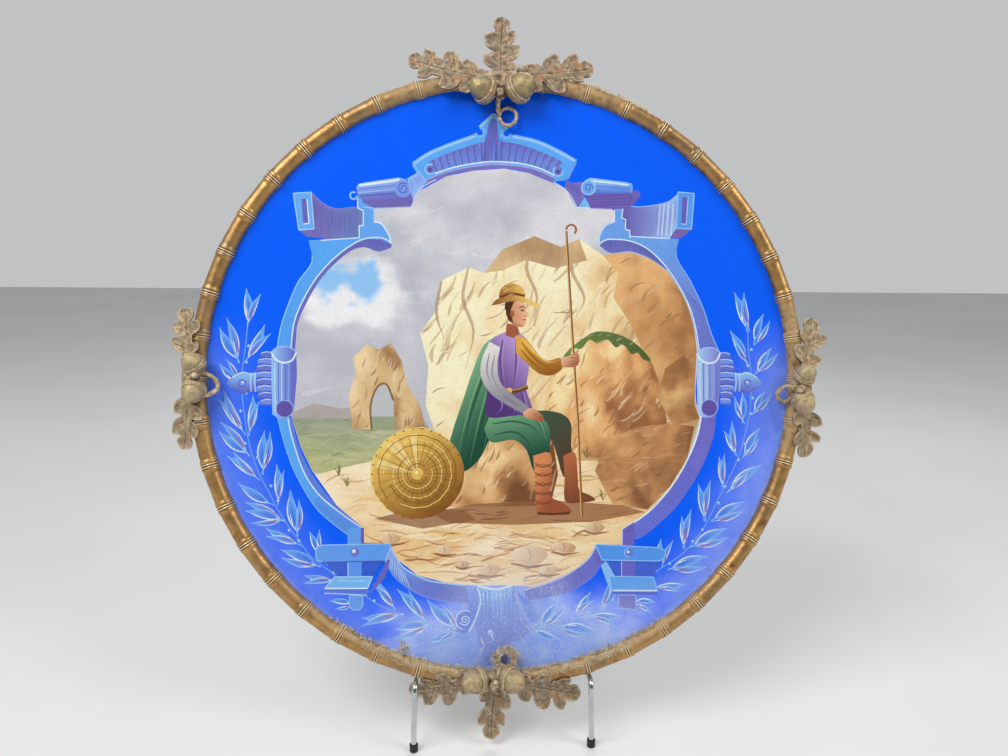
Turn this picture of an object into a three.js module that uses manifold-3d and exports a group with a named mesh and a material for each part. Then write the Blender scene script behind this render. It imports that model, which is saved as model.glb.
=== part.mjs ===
// A painted porcelain charger in a bronze ring of bent-bamboo form. Four castings of oak leaves
// and acorns sit on the ring, and the whole leans back on a chromed wire easel.
// Millimetres, +Z up, the painted face towards -Y, the origin under the middle at floor height.

import * as THREE from "three";
import { mergeVertices } from "three/addons/utils/BufferGeometryUtils.js";
import Module from "manifold-3d";

// Driving dimensions
const RING_OUTER_DIAMETER = 460;
const BAMBOO_DIAMETER = 12.4;
const BAMBOO_JOINTS = 44;
const LEAN = THREE.MathUtils.degToRad(13);
const CENTRE_HEIGHT = 271;
const WIRE_DIAMETER = 4.2;
const TOUCH_GAP = 0.3;

// Bamboo ring
const bambooRadius = BAMBOO_DIAMETER / 2;
const ringRadius = RING_OUTER_DIAMETER / 2 - bambooRadius;
const jointSwelling = 0.7;
const jointHalfLength = 4.6;
const jointPitch = (2 * Math.PI) / BAMBOO_JOINTS;

// Plate
const plateRadius = ringRadius - 2.8;
const rimThickness = 4.6;
const dishDepth = 5;
const bodyThickness = 7;
const footRingRadius = 124;
const footRingWidth = 7;
const footRingHeight = 5;
const plateSegments = 60;

// Mounts
const leafThickness = 2.2;
const leafSeatHeight = bambooRadius + jointSwelling + TOUCH_GAP + 1.4;
const leafDroop = 9;
const leafDroopRun = 12;
const leafDroopStart = ringRadius + 2;
const leafWaistShare = 0.12;
const leafEndWaistShare = 0.085;
const leafCupping = 0.07;
const leafSink = 0.6;
const lobeLean = THREE.MathUtils.degToRad(18);
const lobeShoulderPlace = 0.75;
const lobeShoulderWidth = 0.88;
// The round end of a leaf: distance from the tip and half width at each station, in end radii.
const endNeck = 1.9;
const endLobe = [[1.3, 0.9], [0.5, 0.8], [0, 0.3]];
const saddleSides = 8;
const saddleSegments = 60;
const sliverSize = 0.08;

// Easel
const wireRadius = WIRE_DIAMETER / 2;
const sideSpacing = 130;
const footSplay = 1.6;
const shelfFront = 10;
const backRestDepth = dishDepth + bodyThickness + footRingHeight + wireRadius + 2 * TOUCH_GAP;
const backRestTop = 122;
const rearFootReach = 150;
const bendRadius = 6;
const bendStep = 0.42;
const standHeight = 12;
const crossbarOverhang = 5;
const upperCrossbarHeight = 70;
const lowerCrossbarHeight = 64;
const tipRadius = 3.1;
const tipHeight = 6;
const tipFloor = 1.6;

// Colours
const porcelainBlue = 0x1a56d8;
const bambooBronze = 0x96703a;
const leafBronze = 0x857258;
const chromeGrey = 0xc9ccd0;
const rubberBlack = 0x191919;

const wasm = await Module();
wasm.setup();

function toSolid(geometry) {
  const bare = geometry.clone();
  bare.deleteAttribute("normal");
  bare.deleteAttribute("uv");
  const merged = mergeVertices(bare, 1e-4);
  return new wasm.Manifold(new wasm.Mesh({
    numProp: 3,
    vertProperties: new Float32Array(merged.attributes.position.array),
    triVerts: new Uint32Array(merged.index.array),
  }));
}

function toGeometry(solid) {
  const mesh = solid.getMesh();
  const geometry = new THREE.BufferGeometry();
  geometry.setAttribute("position", new THREE.BufferAttribute(mesh.vertProperties, 3));
  geometry.setIndex(new THREE.BufferAttribute(mesh.triVerts, 1));
  geometry.computeVertexNormals();
  return geometry;
}

function metal(color, roughness) {
  return new THREE.MeshStandardMaterial({ color, roughness, metalness: 1 });
}

function named(name, geometry, material) {
  const mesh = new THREE.Mesh(geometry, material);
  mesh.name = name;
  return mesh;
}

// Moves every vertex of a geometry to where the given function puts it.
function reshape(geometry, place) {
  const position = geometry.attributes.position;
  const point = new THREE.Vector3();
  for (let i = 0; i < position.count; i += 1) {
    point.fromBufferAttribute(position, i);
    place(point, i);
    position.setXYZ(i, point.x, point.y, point.z);
  }
  geometry.computeVertexNormals();
  return geometry;
}

// A lathe turns about its own Y axis. The plate group holds X across, Y up the plate and
// Z out of its face, so the lathe's axis is tipped onto Z.
function turned(profile, segments) {
  return new THREE.LatheGeometry(profile, segments).rotateX(Math.PI / 2);
}

// The front face dips along a cosine from the rim to the middle.
function dish(radius) {
  const flatRim = plateRadius - 14;
  const inward = THREE.MathUtils.clamp(1 - radius / flatRim, 0, 1);
  return -dishDepth * 0.5 * (1 - Math.cos(Math.PI * Math.min(1, inward * 1.35)));
}

function plateGeometry() {
  const frontRadii = [0, 55, 105, 150, 185, 206, plateRadius - 0.8];
  const front = frontRadii.map((radius) => new THREE.Vector2(radius, dish(radius)));
  const footOuter = footRingRadius + footRingWidth / 2;
  const footInner = footRingRadius - footRingWidth / 2;
  const back = -dishDepth - bodyThickness;
  const foot = back - footRingHeight;
  const rear = [
    [plateRadius, -0.8], [plateRadius, -rimThickness], [185, dish(185) - bodyThickness],
    [footOuter + 2, back + 0.5], [footOuter, foot], [footInner, foot], [footInner - 2, back], [0, back],
  ].map(([radius, height]) => new THREE.Vector2(radius, height));
  return turned([...front, ...rear].reverse(), plateSegments);
}

// The ring's section is round, with a rebate cut from the back of its inner side for the plate.
function ringSection() {
  const rebateRadius = plateRadius + TOUCH_GAP;
  const rebateTop = TOUCH_GAP;
  const lipAngle = Math.PI - Math.asin(rebateTop / bambooRadius);
  const frontAngles = [0, 45, 90, 135].map(THREE.MathUtils.degToRad);
  const backAngles = [-45].map(THREE.MathUtils.degToRad);
  const onTube = (angle) => new THREE.Vector2(
    ringRadius + bambooRadius * Math.cos(angle), bambooRadius * Math.sin(angle));
  const backDrop = -Math.sqrt(bambooRadius ** 2 - (ringRadius - rebateRadius) ** 2);
  return [
    ...frontAngles.map(onTube), onTube(lipAngle),
    new THREE.Vector2(rebateRadius, rebateTop), new THREE.Vector2(rebateRadius, backDrop),
    ...backAngles.map(onTube), onTube(0),
  ];
}

// Each joint takes three stations: its crown and the two ends of its swelling.
function bambooRing() {
  const section = ringSection();
  const stationOffsets = [-jointHalfLength, 0, jointHalfLength].map((length) => length / ringRadius);
  const perJoint = stationOffsets.length;
  const stationCount = BAMBOO_JOINTS * perJoint;
  const geometry = turned(section, stationCount);
  const rebateRadius = plateRadius + TOUCH_GAP + 0.01;
  return reshape(geometry, (point, index) => {
    const station = Math.floor(index / section.length) % stationCount;
    const onCrown = station % perJoint === 1;
    const angle = Math.floor(station / perJoint) * jointPitch + stationOffsets[station % perJoint];
    const radius = Math.hypot(point.x, point.y);
    const inRebate = radius < rebateRadius && point.z < TOUCH_GAP + 0.01;
    const swell = onCrown && !inRebate ? 1 + jointSwelling / bambooRadius : 1;
    const across = (radius - ringRadius) * swell;
    const out = point.z * swell;
    point.set((ringRadius + across) * Math.cos(angle), (ringRadius + across) * Math.sin(angle), out);
  });
}

// One side of an oak leaf, from its base to its tip: the share of its length, the half width and
// the lean at each station. A lobe has two shoulders and a crown, with a narrow waist before it.
function leafSide(lobes, endRadius, length) {
  const stations = [];
  let reached = 0;
  const add = (share, width, lean) => {
    reached = Math.max(reached + 0.5 / length, share);
    stations.push({ share: reached, width, lean });
  };
  for (const [share, reach, half] of lobes) {
    const shoulder = (half * lobeShoulderPlace) / length;
    add(stations.length ? (reached + share - shoulder) / 2 : 0, leafWaistShare * length, lobeLean);
    add(share - shoulder, reach * lobeShoulderWidth, lobeLean);
    add(share, reach, lobeLean);
    add(share + shoulder, reach * lobeShoulderWidth, lobeLean);
  }
  const end = endRadius / length;
  add(1 - endNeck * end, leafEndWaistShare * length, 0);
  endLobe.forEach(([far, width]) => add(1 - far * end, width * endRadius, 0));
  return stations;
}

// Height of the leaves over the plate's plane: flat over the ring, then easing back outside it.
function leafHeight(x, y) {
  const outside = Math.max(0, Math.hypot(x, y + ringRadius) - leafDroopStart);
  return leafSeatHeight - leafDroop * (1 - Math.exp(-outside / leafDroopRun));
}

// A mount is drawn with X across it and Y outwards, from a point on the middle of the bamboo.
function leafBlade(leaf) {
  const base = new THREE.Vector2(...leaf.base);
  const along = new THREE.Vector2(...leaf.tip).sub(base);
  const length = along.length();
  along.normalize();
  const side = new THREE.Vector2(-along.y, along.x);
  const left = leafSide(leaf.left, leaf.end, length);
  const right = leafSide(leaf.right, leaf.end, length);
  const spans = left.length - 1;
  const geometry = new THREE.BoxGeometry(1, 1, 1, spans, 2, 1);
  return reshape(geometry, (point) => {
    const index = Math.round((point.x + 0.5) * spans);
    const edge = point.y > 0 ? left[index] : right[index];
    const width = point.y === 0 ? 0 : edge.width;
    const share = point.y === 0 ? (left[index].share + right[index].share) / 2 : edge.share;
    const lateral = Math.sign(point.y) * width * Math.cos(edge.lean);
    const forward = share * length + width * Math.sin(edge.lean);
    const x = base.x + along.x * forward + side.x * lateral;
    const y = base.y + along.y * forward + side.y * lateral;
    const rest = leafHeight(x, y) + leafCupping * Math.abs(lateral) - leafSink - leaf.curl * share ** 2;
    point.set(x, y, rest + point.z * leafThickness);
  });
}

// The nut and its cup, turned as one, pointing along the given direction.
function acorn(spec) {
  const r = spec.radius;
  const profile = [
    [0, 1.45], [0.3, 1.28], [0.8, 0.92], [1, 0.3], [0.97, 0.08],
    [1.12, 0.02], [1.05, -0.42], [0.6, -0.8], [0, -0.92],
  ].map(([radius, height]) => new THREE.Vector2(radius * r, height * r));
  const geometry = new THREE.LatheGeometry(profile.reverse(), 8);
  const pointing = new THREE.Vector3(...spec.pointing).normalize();
  const turn = new THREE.Quaternion().setFromUnitVectors(new THREE.Vector3(0, 1, 0), pointing);
  return geometry.applyQuaternion(turn).translate(...spec.at);
}

// A path with one extrusion station at each of its points, so a straight run costs two.
class StationPath extends THREE.Curve {
  constructor(points) {
    super();
    this.points = points;
  }

  getPointAt(share) {
    return this.points[Math.round(share * (this.points.length - 1))].clone();
  }

  getTangentAt(share) {
    const last = this.points.length - 1;
    const index = Math.round(share * last);
    const before = this.points[Math.max(0, index - 1)];
    const after = this.points[Math.min(last, index + 1)];
    return after.clone().sub(before).normalize();
  }

  getSpacedPoints() {
    return this.points;
  }
}

function rod(points, radius, sides) {
  const corners = Array.from({ length: sides }, (_, side) => {
    const angle = (2 * Math.PI * side) / sides;
    return new THREE.Vector2(radius * Math.cos(angle), radius * Math.sin(angle));
  });
  const circle = new THREE.Shape(corners);
  const steps = points.length - 1;
  return new THREE.ExtrudeGeometry(circle, { steps, extrudePath: new StationPath(points) });
}

function smoothRod(corners, radius, steps) {
  const curve = new THREE.CatmullRomCurve3(corners.map((corner) => new THREE.Vector3(...corner)));
  return rod(curve.getSpacedPoints(steps), radius, 5);
}

function stalkRing(ring) {
  const turn = new THREE.Euler(...(ring.turn ?? [0, 0, 0]));
  const geometry = new THREE.TorusGeometry(ring.radius, ring.wire, 5, 12);
  geometry.applyMatrix4(new THREE.Matrix4().makeRotationFromEuler(turn));
  return geometry.translate(...ring.at);
}

// The knot that carries the leaves, acorns and stalk of one mount.
function knot(spec) {
  const geometry = new THREE.SphereGeometry(1, 8, 5);
  return geometry.scale(...spec.size).translate(...spec.at);
}

// The bamboo's own path, a little fatter, is cut away under each casting so that it sits on the ring.
function ringSaddle() {
  const clearance = (bambooRadius + jointSwelling + TOUCH_GAP) / Math.cos(Math.PI / saddleSides);
  return toSolid(new THREE.TorusGeometry(ringRadius, clearance, saddleSides, saddleSegments));
}

function mountGeometry(spec) {
  const pieces = [
    ...spec.leaves.map(leafBlade), ...spec.acorns.map(acorn), ...spec.knots.map(knot),
    ...spec.stalks.map((stalk) => smoothRod(stalk.through, stalk.wire, stalk.steps)),
    ...spec.rings.map(stalkRing),
  ].map(toSolid);
  const casting = pieces.reduce((whole, piece) => whole.add(piece));
  const placed = toGeometry(casting).translate(0, ringRadius, 0).rotateZ(spec.turn);
  const crumbsLast = toSolid(placed).subtract(saddle).decompose()
    .sort((one, other) => other.volume() - one.volume());
  return toGeometry(crumbsLast[0].simplify(sliverSize));
}

const saddle = ringSaddle();
const acornSeat = leafSeatHeight + 4;

const topMount = {
  turn: 0.009,
  leaves: [
    {
      base: [-9, -4], tip: [-68.5, 16.5], end: 6.2, curl: 3,
      left: [[0.17, 15.3, 5.6], [0.38, 17.4, 7.1], [0.71, 13.5, 5.1]],
      right: [[0.23, 12.1, 6.4], [0.45, 15.6, 6.9], [0.74, 11.8, 5.6]],
    },
    {
      base: [11, 0], tip: [70.5, 10], end: 6.8, curl: 3,
      left: [[0.17, 9.3, 6.5], [0.43, 15.4, 6.6], [0.7, 13.5, 6.8]],
      right: [[0.15, 14.9, 6.6], [0.41, 18.1, 7.2], [0.74, 11.1, 5.5]],
    },
    {
      base: [0, -6], tip: [1.5, 49], end: 6.4, curl: 3,
      left: [[0.09, 8.4, 3.9], [0.31, 13.5, 6.4], [0.6, 12.8, 6.4]],
      right: [[0.21, 10.7, 4.7], [0.43, 14.9, 6.6], [0.67, 11.1, 5.1]],
    },
  ],
  acorns: [
    { at: [-12.5, -12, acornSeat], radius: 9.2, pointing: [-0.7, 0.3, 0.65] },
    { at: [13, -10.5, acornSeat], radius: 10, pointing: [0.68, 0.3, 0.67] },
  ],
  knots: [
    { at: [0, -6, leafSeatHeight + 1], size: [16, 9, 4.5] },
    { at: [-1, -15, acornSeat + 2], size: [5, 4.5, 4.5] },
  ],
  stalks: [{ through: [[-2, -15, acornSeat + 1], [-2.4, -22, 9], [-1.2, -27, 5.5]], wire: 1.9, steps: 6 }],
  rings: [{ at: [5, -29, 5], radius: 6.4, wire: 1.35 }],
};

const leftMount = {
  turn: Math.PI / 2 - 0.003,
  leaves: [
    {
      base: [13, 5], tip: [52, 8.5], end: 6.2, curl: 3,
      left: [[0.26, 12.7, 5.7], [0.57, 10, 5.6]],
      right: [[0.17, 9.7, 3.9], [0.54, 12.4, 5.1]],
    },
    {
      base: [-11, 5], tip: [-52.5, 8.5], end: 6, curl: 3,
      left: [[0.27, 13.9, 5.3], [0.59, 11.1, 6.1]],
      right: [[0.19, 10.5, 5.9], [0.55, 11.1, 6.5]],
    },
  ],
  acorns: [
    { at: [9.5, -1, acornSeat - 1], radius: 7.8, pointing: [0.7, 0.4, 0.6] },
    { at: [-8.5, -1, acornSeat - 1], radius: 8, pointing: [-0.75, 0.1, 0.65] },
  ],
  knots: [
    { at: [0, 1, leafSeatHeight + 1], size: [15, 7.5, 4.2] },
    { at: [1, -3, acornSeat + 3], size: [4, 3.6, 3.6] },
  ],
  stalks: [{
    through: [[3, -2, 11], [2.5, -10, 9], [-2, -15.5, 7.5], [-8, -16, 7.5], [-12, -10, 9], [-13, -2, 10]],
    wire: 1.7, steps: 14,
  }],
  rings: [],
};

const rightMount = {
  turn: -Math.PI / 2 - 0.031,
  leaves: [
    {
      base: [-12, 5], tip: [-54, 12], end: 6.8, curl: 3,
      left: [[0.27, 14.1, 6.1], [0.6, 11.1, 5.2]],
      right: [[0.18, 12.4, 5.1], [0.56, 13.9, 6]],
    },
    {
      base: [12, 5], tip: [53, 10], end: 6.8, curl: 3,
      left: [[0.25, 14.9, 5.9], [0.59, 12.1, 5.2]],
      right: [[0.18, 12.1, 5.6], [0.58, 12.3, 6.4]],
    },
  ],
  acorns: [
    { at: [-9.5, 2, acornSeat - 1], radius: 7.6, pointing: [-0.7, 0.2, 0.65] },
    { at: [9.5, 1.5, acornSeat - 1], radius: 8, pointing: [0.7, 0.2, 0.65] },
  ],
  knots: [
    { at: [0, 1, leafSeatHeight + 1], size: [15, 7.5, 4.2] },
    { at: [1, -2, acornSeat + 3], size: [4, 3.6, 3.6] },
  ],
  stalks: [{ through: [[0, 0, 12], [-1, -6, 11.5], [-1.5, -9, 10]], wire: 1.7, steps: 5 }],
  rings: [{ at: [4.5, -11, 9], radius: 6.4, wire: 1.6, turn: [0, 0.5, 0] }],
};

const bottomMount = {
  turn: Math.PI - 0.029,
  leaves: [
    {
      base: [12, -1], tip: [63.5, 13], end: 6.2, curl: 7,
      left: [[0.16, 9.3, 4.4], [0.4, 14.9, 6], [0.69, 12.3, 6.2]],
      right: [[0.15, 9.7, 5.5], [0.41, 13.5, 5.2], [0.68, 9.7, 4.9]],
    },
    {
      base: [-12, 0], tip: [-65, 13.5], end: 6.6, curl: 3,
      left: [[0.1, 9.7, 5.5], [0.36, 13.4, 6], [0.66, 12.6, 6]],
      right: [[0.18, 13.6, 6], [0.44, 16.7, 6.8], [0.71, 14.1, 6]],
    },
    {
      base: [0, -4], tip: [0.5, 47], end: 6.4, curl: 3,
      left: [[0.34, 14.3, 6.8], [0.64, 10.7, 5.6]],
      right: [[0.28, 10.8, 4.9], [0.61, 11.5, 6.5]],
    },
  ],
  acorns: [
    { at: [14, -3, acornSeat], radius: 8.8, pointing: [0.72, -0.05, 0.68] },
    { at: [-11, -3.5, acornSeat], radius: 9, pointing: [-0.72, 0, 0.68] },
  ],
  knots: [
    { at: [2, 0, leafSeatHeight + 1], size: [17, 8, 4.5] },
    { at: [0, -2, acornSeat + 4], size: [4.2, 4, 4] },
  ],
  stalks: [{ through: [[-1, -3, 12], [-2.5, -8, 9], [-5, -12, 6]], wire: 1.9, steps: 5 }],
  rings: [{ at: [-7.5, -17, 5.5], radius: 6.7, wire: 1.85 }],
};

const mounts = {
  top_mount: topMount, left_mount: leftMount, right_mount: rightMount, bottom_mount: bottomMount,
};

// The charger, its ring and the castings, drawn flat and then leant back as one.
function framedCharger() {
  const group = new THREE.Group();
  const glaze = new THREE.MeshStandardMaterial({ color: porcelainBlue, roughness: 0.12, metalness: 0 });
  group.add(named("plate", plateGeometry(), glaze));
  group.add(named("bamboo_ring", bambooRing(), metal(bambooBronze, 0.4)));
  for (const [name, spec] of Object.entries(mounts)) {
    group.add(named(name, mountGeometry(spec), metal(leafBronze, 0.6)));
  }
  group.rotation.x = Math.PI / 2 - LEAN;
  group.position.z = CENTRE_HEIGHT;
  return group;
}

// A point given up the plate and out of its face, as seen from the side.
function onPlate(x, up, out) {
  const y = up * Math.sin(LEAN) - out * Math.cos(LEAN);
  const z = CENTRE_HEIGHT + up * Math.cos(LEAN) + out * Math.sin(LEAN);
  return new THREE.Vector3(x, y, z);
}

// Rounds each inner corner of a run of wire with an arc of a few points.
function bentRun(corners) {
  const points = [corners[0]];
  for (let i = 1; i < corners.length - 1; i += 1) {
    const into = corners[i].clone().sub(corners[i - 1]).normalize();
    const outOf = corners[i + 1].clone().sub(corners[i]).normalize();
    const half = into.angleTo(outOf) / 2;
    const setback = bendRadius * Math.tan(half);
    const start = corners[i].clone().addScaledVector(into, -setback);
    const end = corners[i].clone().addScaledVector(outOf, setback);
    const arc = new THREE.QuadraticBezierCurve3(start, corners[i], end);
    points.push(...arc.getPoints(Math.ceil((2 * half) / bendStep)));
  }
  points.push(corners[corners.length - 1]);
  return points;
}

function sideWireCorners(side) {
  const x = (side * sideSpacing) / 2;
  const reach = RING_OUTER_DIAMETER / 2 + jointSwelling + wireRadius + TOUCH_GAP;
  const shelf = -Math.sqrt(reach ** 2 - x ** 2);
  const knee = onPlate(x, shelf, shelfFront);
  const upright = (y) => [tipFloor + TOUCH_GAP, standHeight]
    .map((z) => new THREE.Vector3(x + side * footSplay, y, z));
  return [
    ...upright(knee.y), knee, onPlate(x, shelf, -backRestDepth),
    onPlate(x, backRestTop, -backRestDepth), ...upright(rearFootReach).reverse(),
  ];
}

// Each tip is a little cup that the wire's end stands in.
function rubberTip() {
  const bore = wireRadius + TOUCH_GAP;
  const profile = [
    [0, 0], [tipRadius - 0.3, 0], [tipRadius, 0.5], [tipRadius, tipHeight],
    [bore, tipHeight], [bore, tipFloor], [0, tipFloor],
  ].map(([radius, height]) => new THREE.Vector2(radius, height));
  return new THREE.LatheGeometry(profile, 10).rotateX(Math.PI / 2);
}

function easel() {
  const group = new THREE.Group();
  const chrome = () => metal(chromeGrey, 0.12);
  for (const [name, side] of [["left", -1], ["right", 1]]) {
    const corners = sideWireCorners(side);
    group.add(named(`easel_side_wire_${name}`, rod(bentRun(corners), wireRadius, 8), chrome()));
    for (const [place, foot] of [["front", corners[0]], ["rear", corners.at(-1)]]) {
      const rubber = new THREE.MeshStandardMaterial({ color: rubberBlack, roughness: 0.7 });
      const tip = named(`rubber_tip_${place}_${name}`, rubberTip(), rubber);
      tip.position.set(foot.x, foot.y, 0);
      group.add(tip);
    }
  }
  const ends = sideSpacing / 2 + crossbarOverhang;
  const behind = -backRestDepth - WIRE_DIAMETER - TOUCH_GAP;
  const upper = [onPlate(-ends, upperCrossbarHeight, behind), onPlate(ends, upperCrossbarHeight, behind)];
  group.add(named("easel_crossbar_upper", rod(upper, wireRadius, 8), chrome()));
  const legTop = onPlate(0, backRestTop, -backRestDepth);
  const legShare = (legTop.z - lowerCrossbarHeight) / legTop.z;
  const legY = THREE.MathUtils.lerp(legTop.y, rearFootReach, legShare) - WIRE_DIAMETER - 2 * TOUCH_GAP;
  const lower = [-ends, ends].map((x) => new THREE.Vector3(x, legY, lowerCrossbarHeight));
  group.add(named("easel_crossbar_lower", rod(lower, wireRadius, 8), chrome()));
  return group;
}

// The floor is at zero and the plate's middle at X = 0, so only the depth is centred on the origin.
function centred(model) {
  const box = new THREE.Box3().setFromObject(model, true);
  model.position.y = -box.getCenter(new THREE.Vector3()).y;
  return model;
}

const group = new THREE.Group();
group.add(framedCharger(), easel());

export default centred(group);
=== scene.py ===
# A painted porcelain charger in a bronze ring of bent-bamboo form, with four castings of oak leaves
# and acorns, leaning back on a chromed wire easel.

import math
import random

import bpy
from mathutils import Matrix, Vector, noise
from mathutils.geometry import delaunay_2d_cdt
from mathutils.kdtree import KDTree


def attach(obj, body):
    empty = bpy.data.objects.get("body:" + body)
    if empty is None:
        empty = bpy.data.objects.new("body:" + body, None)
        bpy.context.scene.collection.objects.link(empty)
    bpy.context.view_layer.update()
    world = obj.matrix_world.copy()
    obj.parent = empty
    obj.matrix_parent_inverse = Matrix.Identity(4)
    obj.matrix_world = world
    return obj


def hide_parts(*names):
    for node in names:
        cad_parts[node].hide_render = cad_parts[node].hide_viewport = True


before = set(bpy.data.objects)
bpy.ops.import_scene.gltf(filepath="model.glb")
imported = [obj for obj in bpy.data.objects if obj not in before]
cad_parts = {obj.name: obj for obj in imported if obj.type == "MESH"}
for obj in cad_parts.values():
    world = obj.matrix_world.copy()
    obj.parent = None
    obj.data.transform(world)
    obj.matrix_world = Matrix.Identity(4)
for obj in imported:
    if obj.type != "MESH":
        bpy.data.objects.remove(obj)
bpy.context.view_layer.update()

# Sizes in millimetres, as in the solids. On the plate, X runs across, Y up its face and Z out of it.
LEAN = math.radians(13)
CENTRE_HEIGHT = 271.0
DEPTH_SHIFT = -39.883
RING_RADIUS = 223.8
BAMBOO_JOINTS = 44
PLATE_RADIUS = 221.0
REBATE_RADIUS = 221.3
REBATE_LIP = 0.3
DISH_DEPTH = 5.0
BODY_THICKNESS = 7.0
RIM_THICKNESS = 4.6
FOOT_RING_RADIUS = 124.0
FOOT_RING_WIDTH = 7.0
FOOT_RING_HEIGHT = 5.0
LEAF_SEAT = 8.6
LEAF_THICKNESS = 2.2
LEAF_WAIST_SHARE = 0.12
LEAF_END_WAIST_SHARE = 0.085
LOBE_LEAN = math.radians(18)
WIRE_RADIUS = 2.1

plate_to_world = (
    Matrix.Scale(0.001, 4)
    @ Matrix.Translation((0, DEPTH_SHIFT, CENTRE_HEIGHT))
    @ Matrix.Rotation(math.pi / 2 - LEAN, 4, "X")
)
floor_to_world = Matrix.Scale(0.001, 4) @ Matrix.Translation((0, DEPTH_SHIFT, 0))


def blend(low, high, share):
    return low + (high - low) * share


def clamp(value, low=0.0, high=1.0):
    return max(low, min(high, value))


def ease(low, high, value):
    share = clamp((value - low) / (high - low))
    return share * share * (3 - 2 * share)


# Finishes

class Finish:
    """A material with its nodes, written as short chains."""

    def __init__(self, name):
        self.material = bpy.data.materials.new(name)
        self.material.use_nodes = True
        self.nodes = self.material.node_tree.nodes
        self.links = self.material.node_tree.links
        self.shader = self.nodes["Principled BSDF"]
        self.place = self.node("ShaderNodeTexCoord").outputs["Object"]

    def node(self, kind, **settings):
        made = self.nodes.new(kind)
        for key, value in settings.items():
            setattr(made, key, value)
        return made

    def give(self, socket, value):
        if isinstance(value, bpy.types.NodeSocket):
            self.links.new(value, socket)
        elif isinstance(value, tuple):
            socket.default_value = linear(value) + (1.0,)
        else:
            socket.default_value = value

    def attribute(self, name, output="Fac"):
        return self.node("ShaderNodeAttribute", attribute_name=name).outputs[output]

    def noise(self, size, detail=4.0, roughness=0.55):
        made = self.node("ShaderNodeTexNoise")
        made.inputs["Scale"].default_value = 1000.0 / size
        made.inputs["Detail"].default_value = detail
        made.inputs["Roughness"].default_value = roughness
        self.links.new(self.place, made.inputs["Vector"])
        return made.outputs["Fac"]

    def hairlines(self, size, width):
        """Thin wandering lines, drawn where a noise passes its middle value."""
        away = self.sum("ABSOLUTE", self.sum("SUBTRACT", self.noise(size, 3.0), 0.5), 0.0)
        return self.remap(away, 0.0, width, 1.0, 0.0)

    def remap(self, value, low, high, to_low=0.0, to_high=1.0):
        made = self.node("ShaderNodeMapRange", interpolation_type="SMOOTHSTEP")
        self.give(made.inputs["Value"], value)
        for name, number in zip(("From Min", "From Max", "To Min", "To Max"), (low, high, to_low, to_high)):
            made.inputs[name].default_value = number
        return made.outputs["Result"]

    def sum(self, operation, first, second):
        made = self.node("ShaderNodeMath", operation=operation)
        self.give(made.inputs[0], first)
        self.give(made.inputs[1], second)
        return made.outputs["Value"]

    def mix(self, share, first, second, way="MIX"):
        made = self.node("ShaderNodeMix", data_type="RGBA", blend_type=way)
        self.give(made.inputs["Factor"], share)
        self.give(made.inputs["A"], first)
        self.give(made.inputs["B"], second)
        return made.outputs["Result"]

    def bump(self, height, depth):
        made = self.node("ShaderNodeBump")
        made.inputs["Distance"].default_value = depth / 1000.0
        made.inputs["Strength"].default_value = 1.0
        self.give(made.inputs["Height"], height)
        self.links.new(made.outputs["Normal"], self.shader.inputs["Normal"])

    def colour(self, value):
        self.give(self.shader.inputs["Base Color"], value)

    def set(self, **values):
        for key, value in values.items():
            self.give(self.shader.inputs[key.replace("_", " ")], value)


def linear(colour):
    """A colour of 0 to 255 as the shares of light that the nodes take."""
    def channel(value):
        share = value / 255.0
        return share / 12.92 if share <= 0.04045 else ((share + 0.055) / 1.055) ** 2.4
    return tuple(channel(value) for value in colour[:3])


BLACK = (0, 0, 0)
WHITE = (255, 255, 255)
THICKEST_HAZE = 0.84
HAZE_OVER_PAINT = 0.42
GLAZE_IOR = 1.5


def glazed_enamel():
    """Painted glaze, with a haze of dust low on the face, a paler haze at its sides and grains of dust, where
    the film attribute puts them.
    """
    glaze = Finish("glazed_enamel")
    paint = glaze.attribute("Paint", "Color")
    by_hand = glaze.attribute("Paint", "Alpha")
    broad = glaze.mix(glaze.remap(glaze.noise(9, 5.0), 0.3, 0.7, 0.96, 1.0), BLACK, WHITE)
    flecks = glaze.mix(glaze.remap(glaze.noise(1.9, 4.0, 0.7), 0.34, 0.62, 0.92, 1.0), BLACK, WHITE)
    brushed = glaze.mix(1.0, paint, broad, "MULTIPLY")
    brushed = glaze.mix(by_hand, brushed, glaze.mix(1.0, brushed, flecks, "MULTIPLY"))
    film = glaze.attribute("Dust")
    patches = glaze.remap(glaze.noise(17, 7.0, 0.7), 0.3, 0.7, 0.72, 1.2)
    haze = glaze.sum("MINIMUM", glaze.sum("MULTIPLY", film, patches), THICKEST_HAZE)
    haze = glaze.sum("MULTIPLY", haze, glaze.remap(by_hand, 0.0, 1.0, 1.0, HAZE_OVER_PAINT))
    thick = glaze.remap(film, 0.45, 0.85)
    dusty = glaze.mix(haze, brushed, glaze.mix(thick, (218, 232, 252), (158, 182, 232)))
    grains = glaze.remap(glaze.noise(0.9, 2.0), 0.56, 0.72, 0.0, 0.75)
    grains = glaze.sum("MULTIPLY", glaze.remap(film, 0.08, 0.6, 0.0, 1.0), grains)
    glaze.colour(glaze.mix(grains, dusty, (222, 220, 222)))
    glaze.set(Roughness=glaze.remap(haze, 0.0, 0.7, 0.1, 0.5))
    glaze.shader.inputs["IOR"].default_value = GLAZE_IOR
    glaze.bump(glaze.noise(30, 2.0), 0.02)
    return glaze.material


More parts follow.
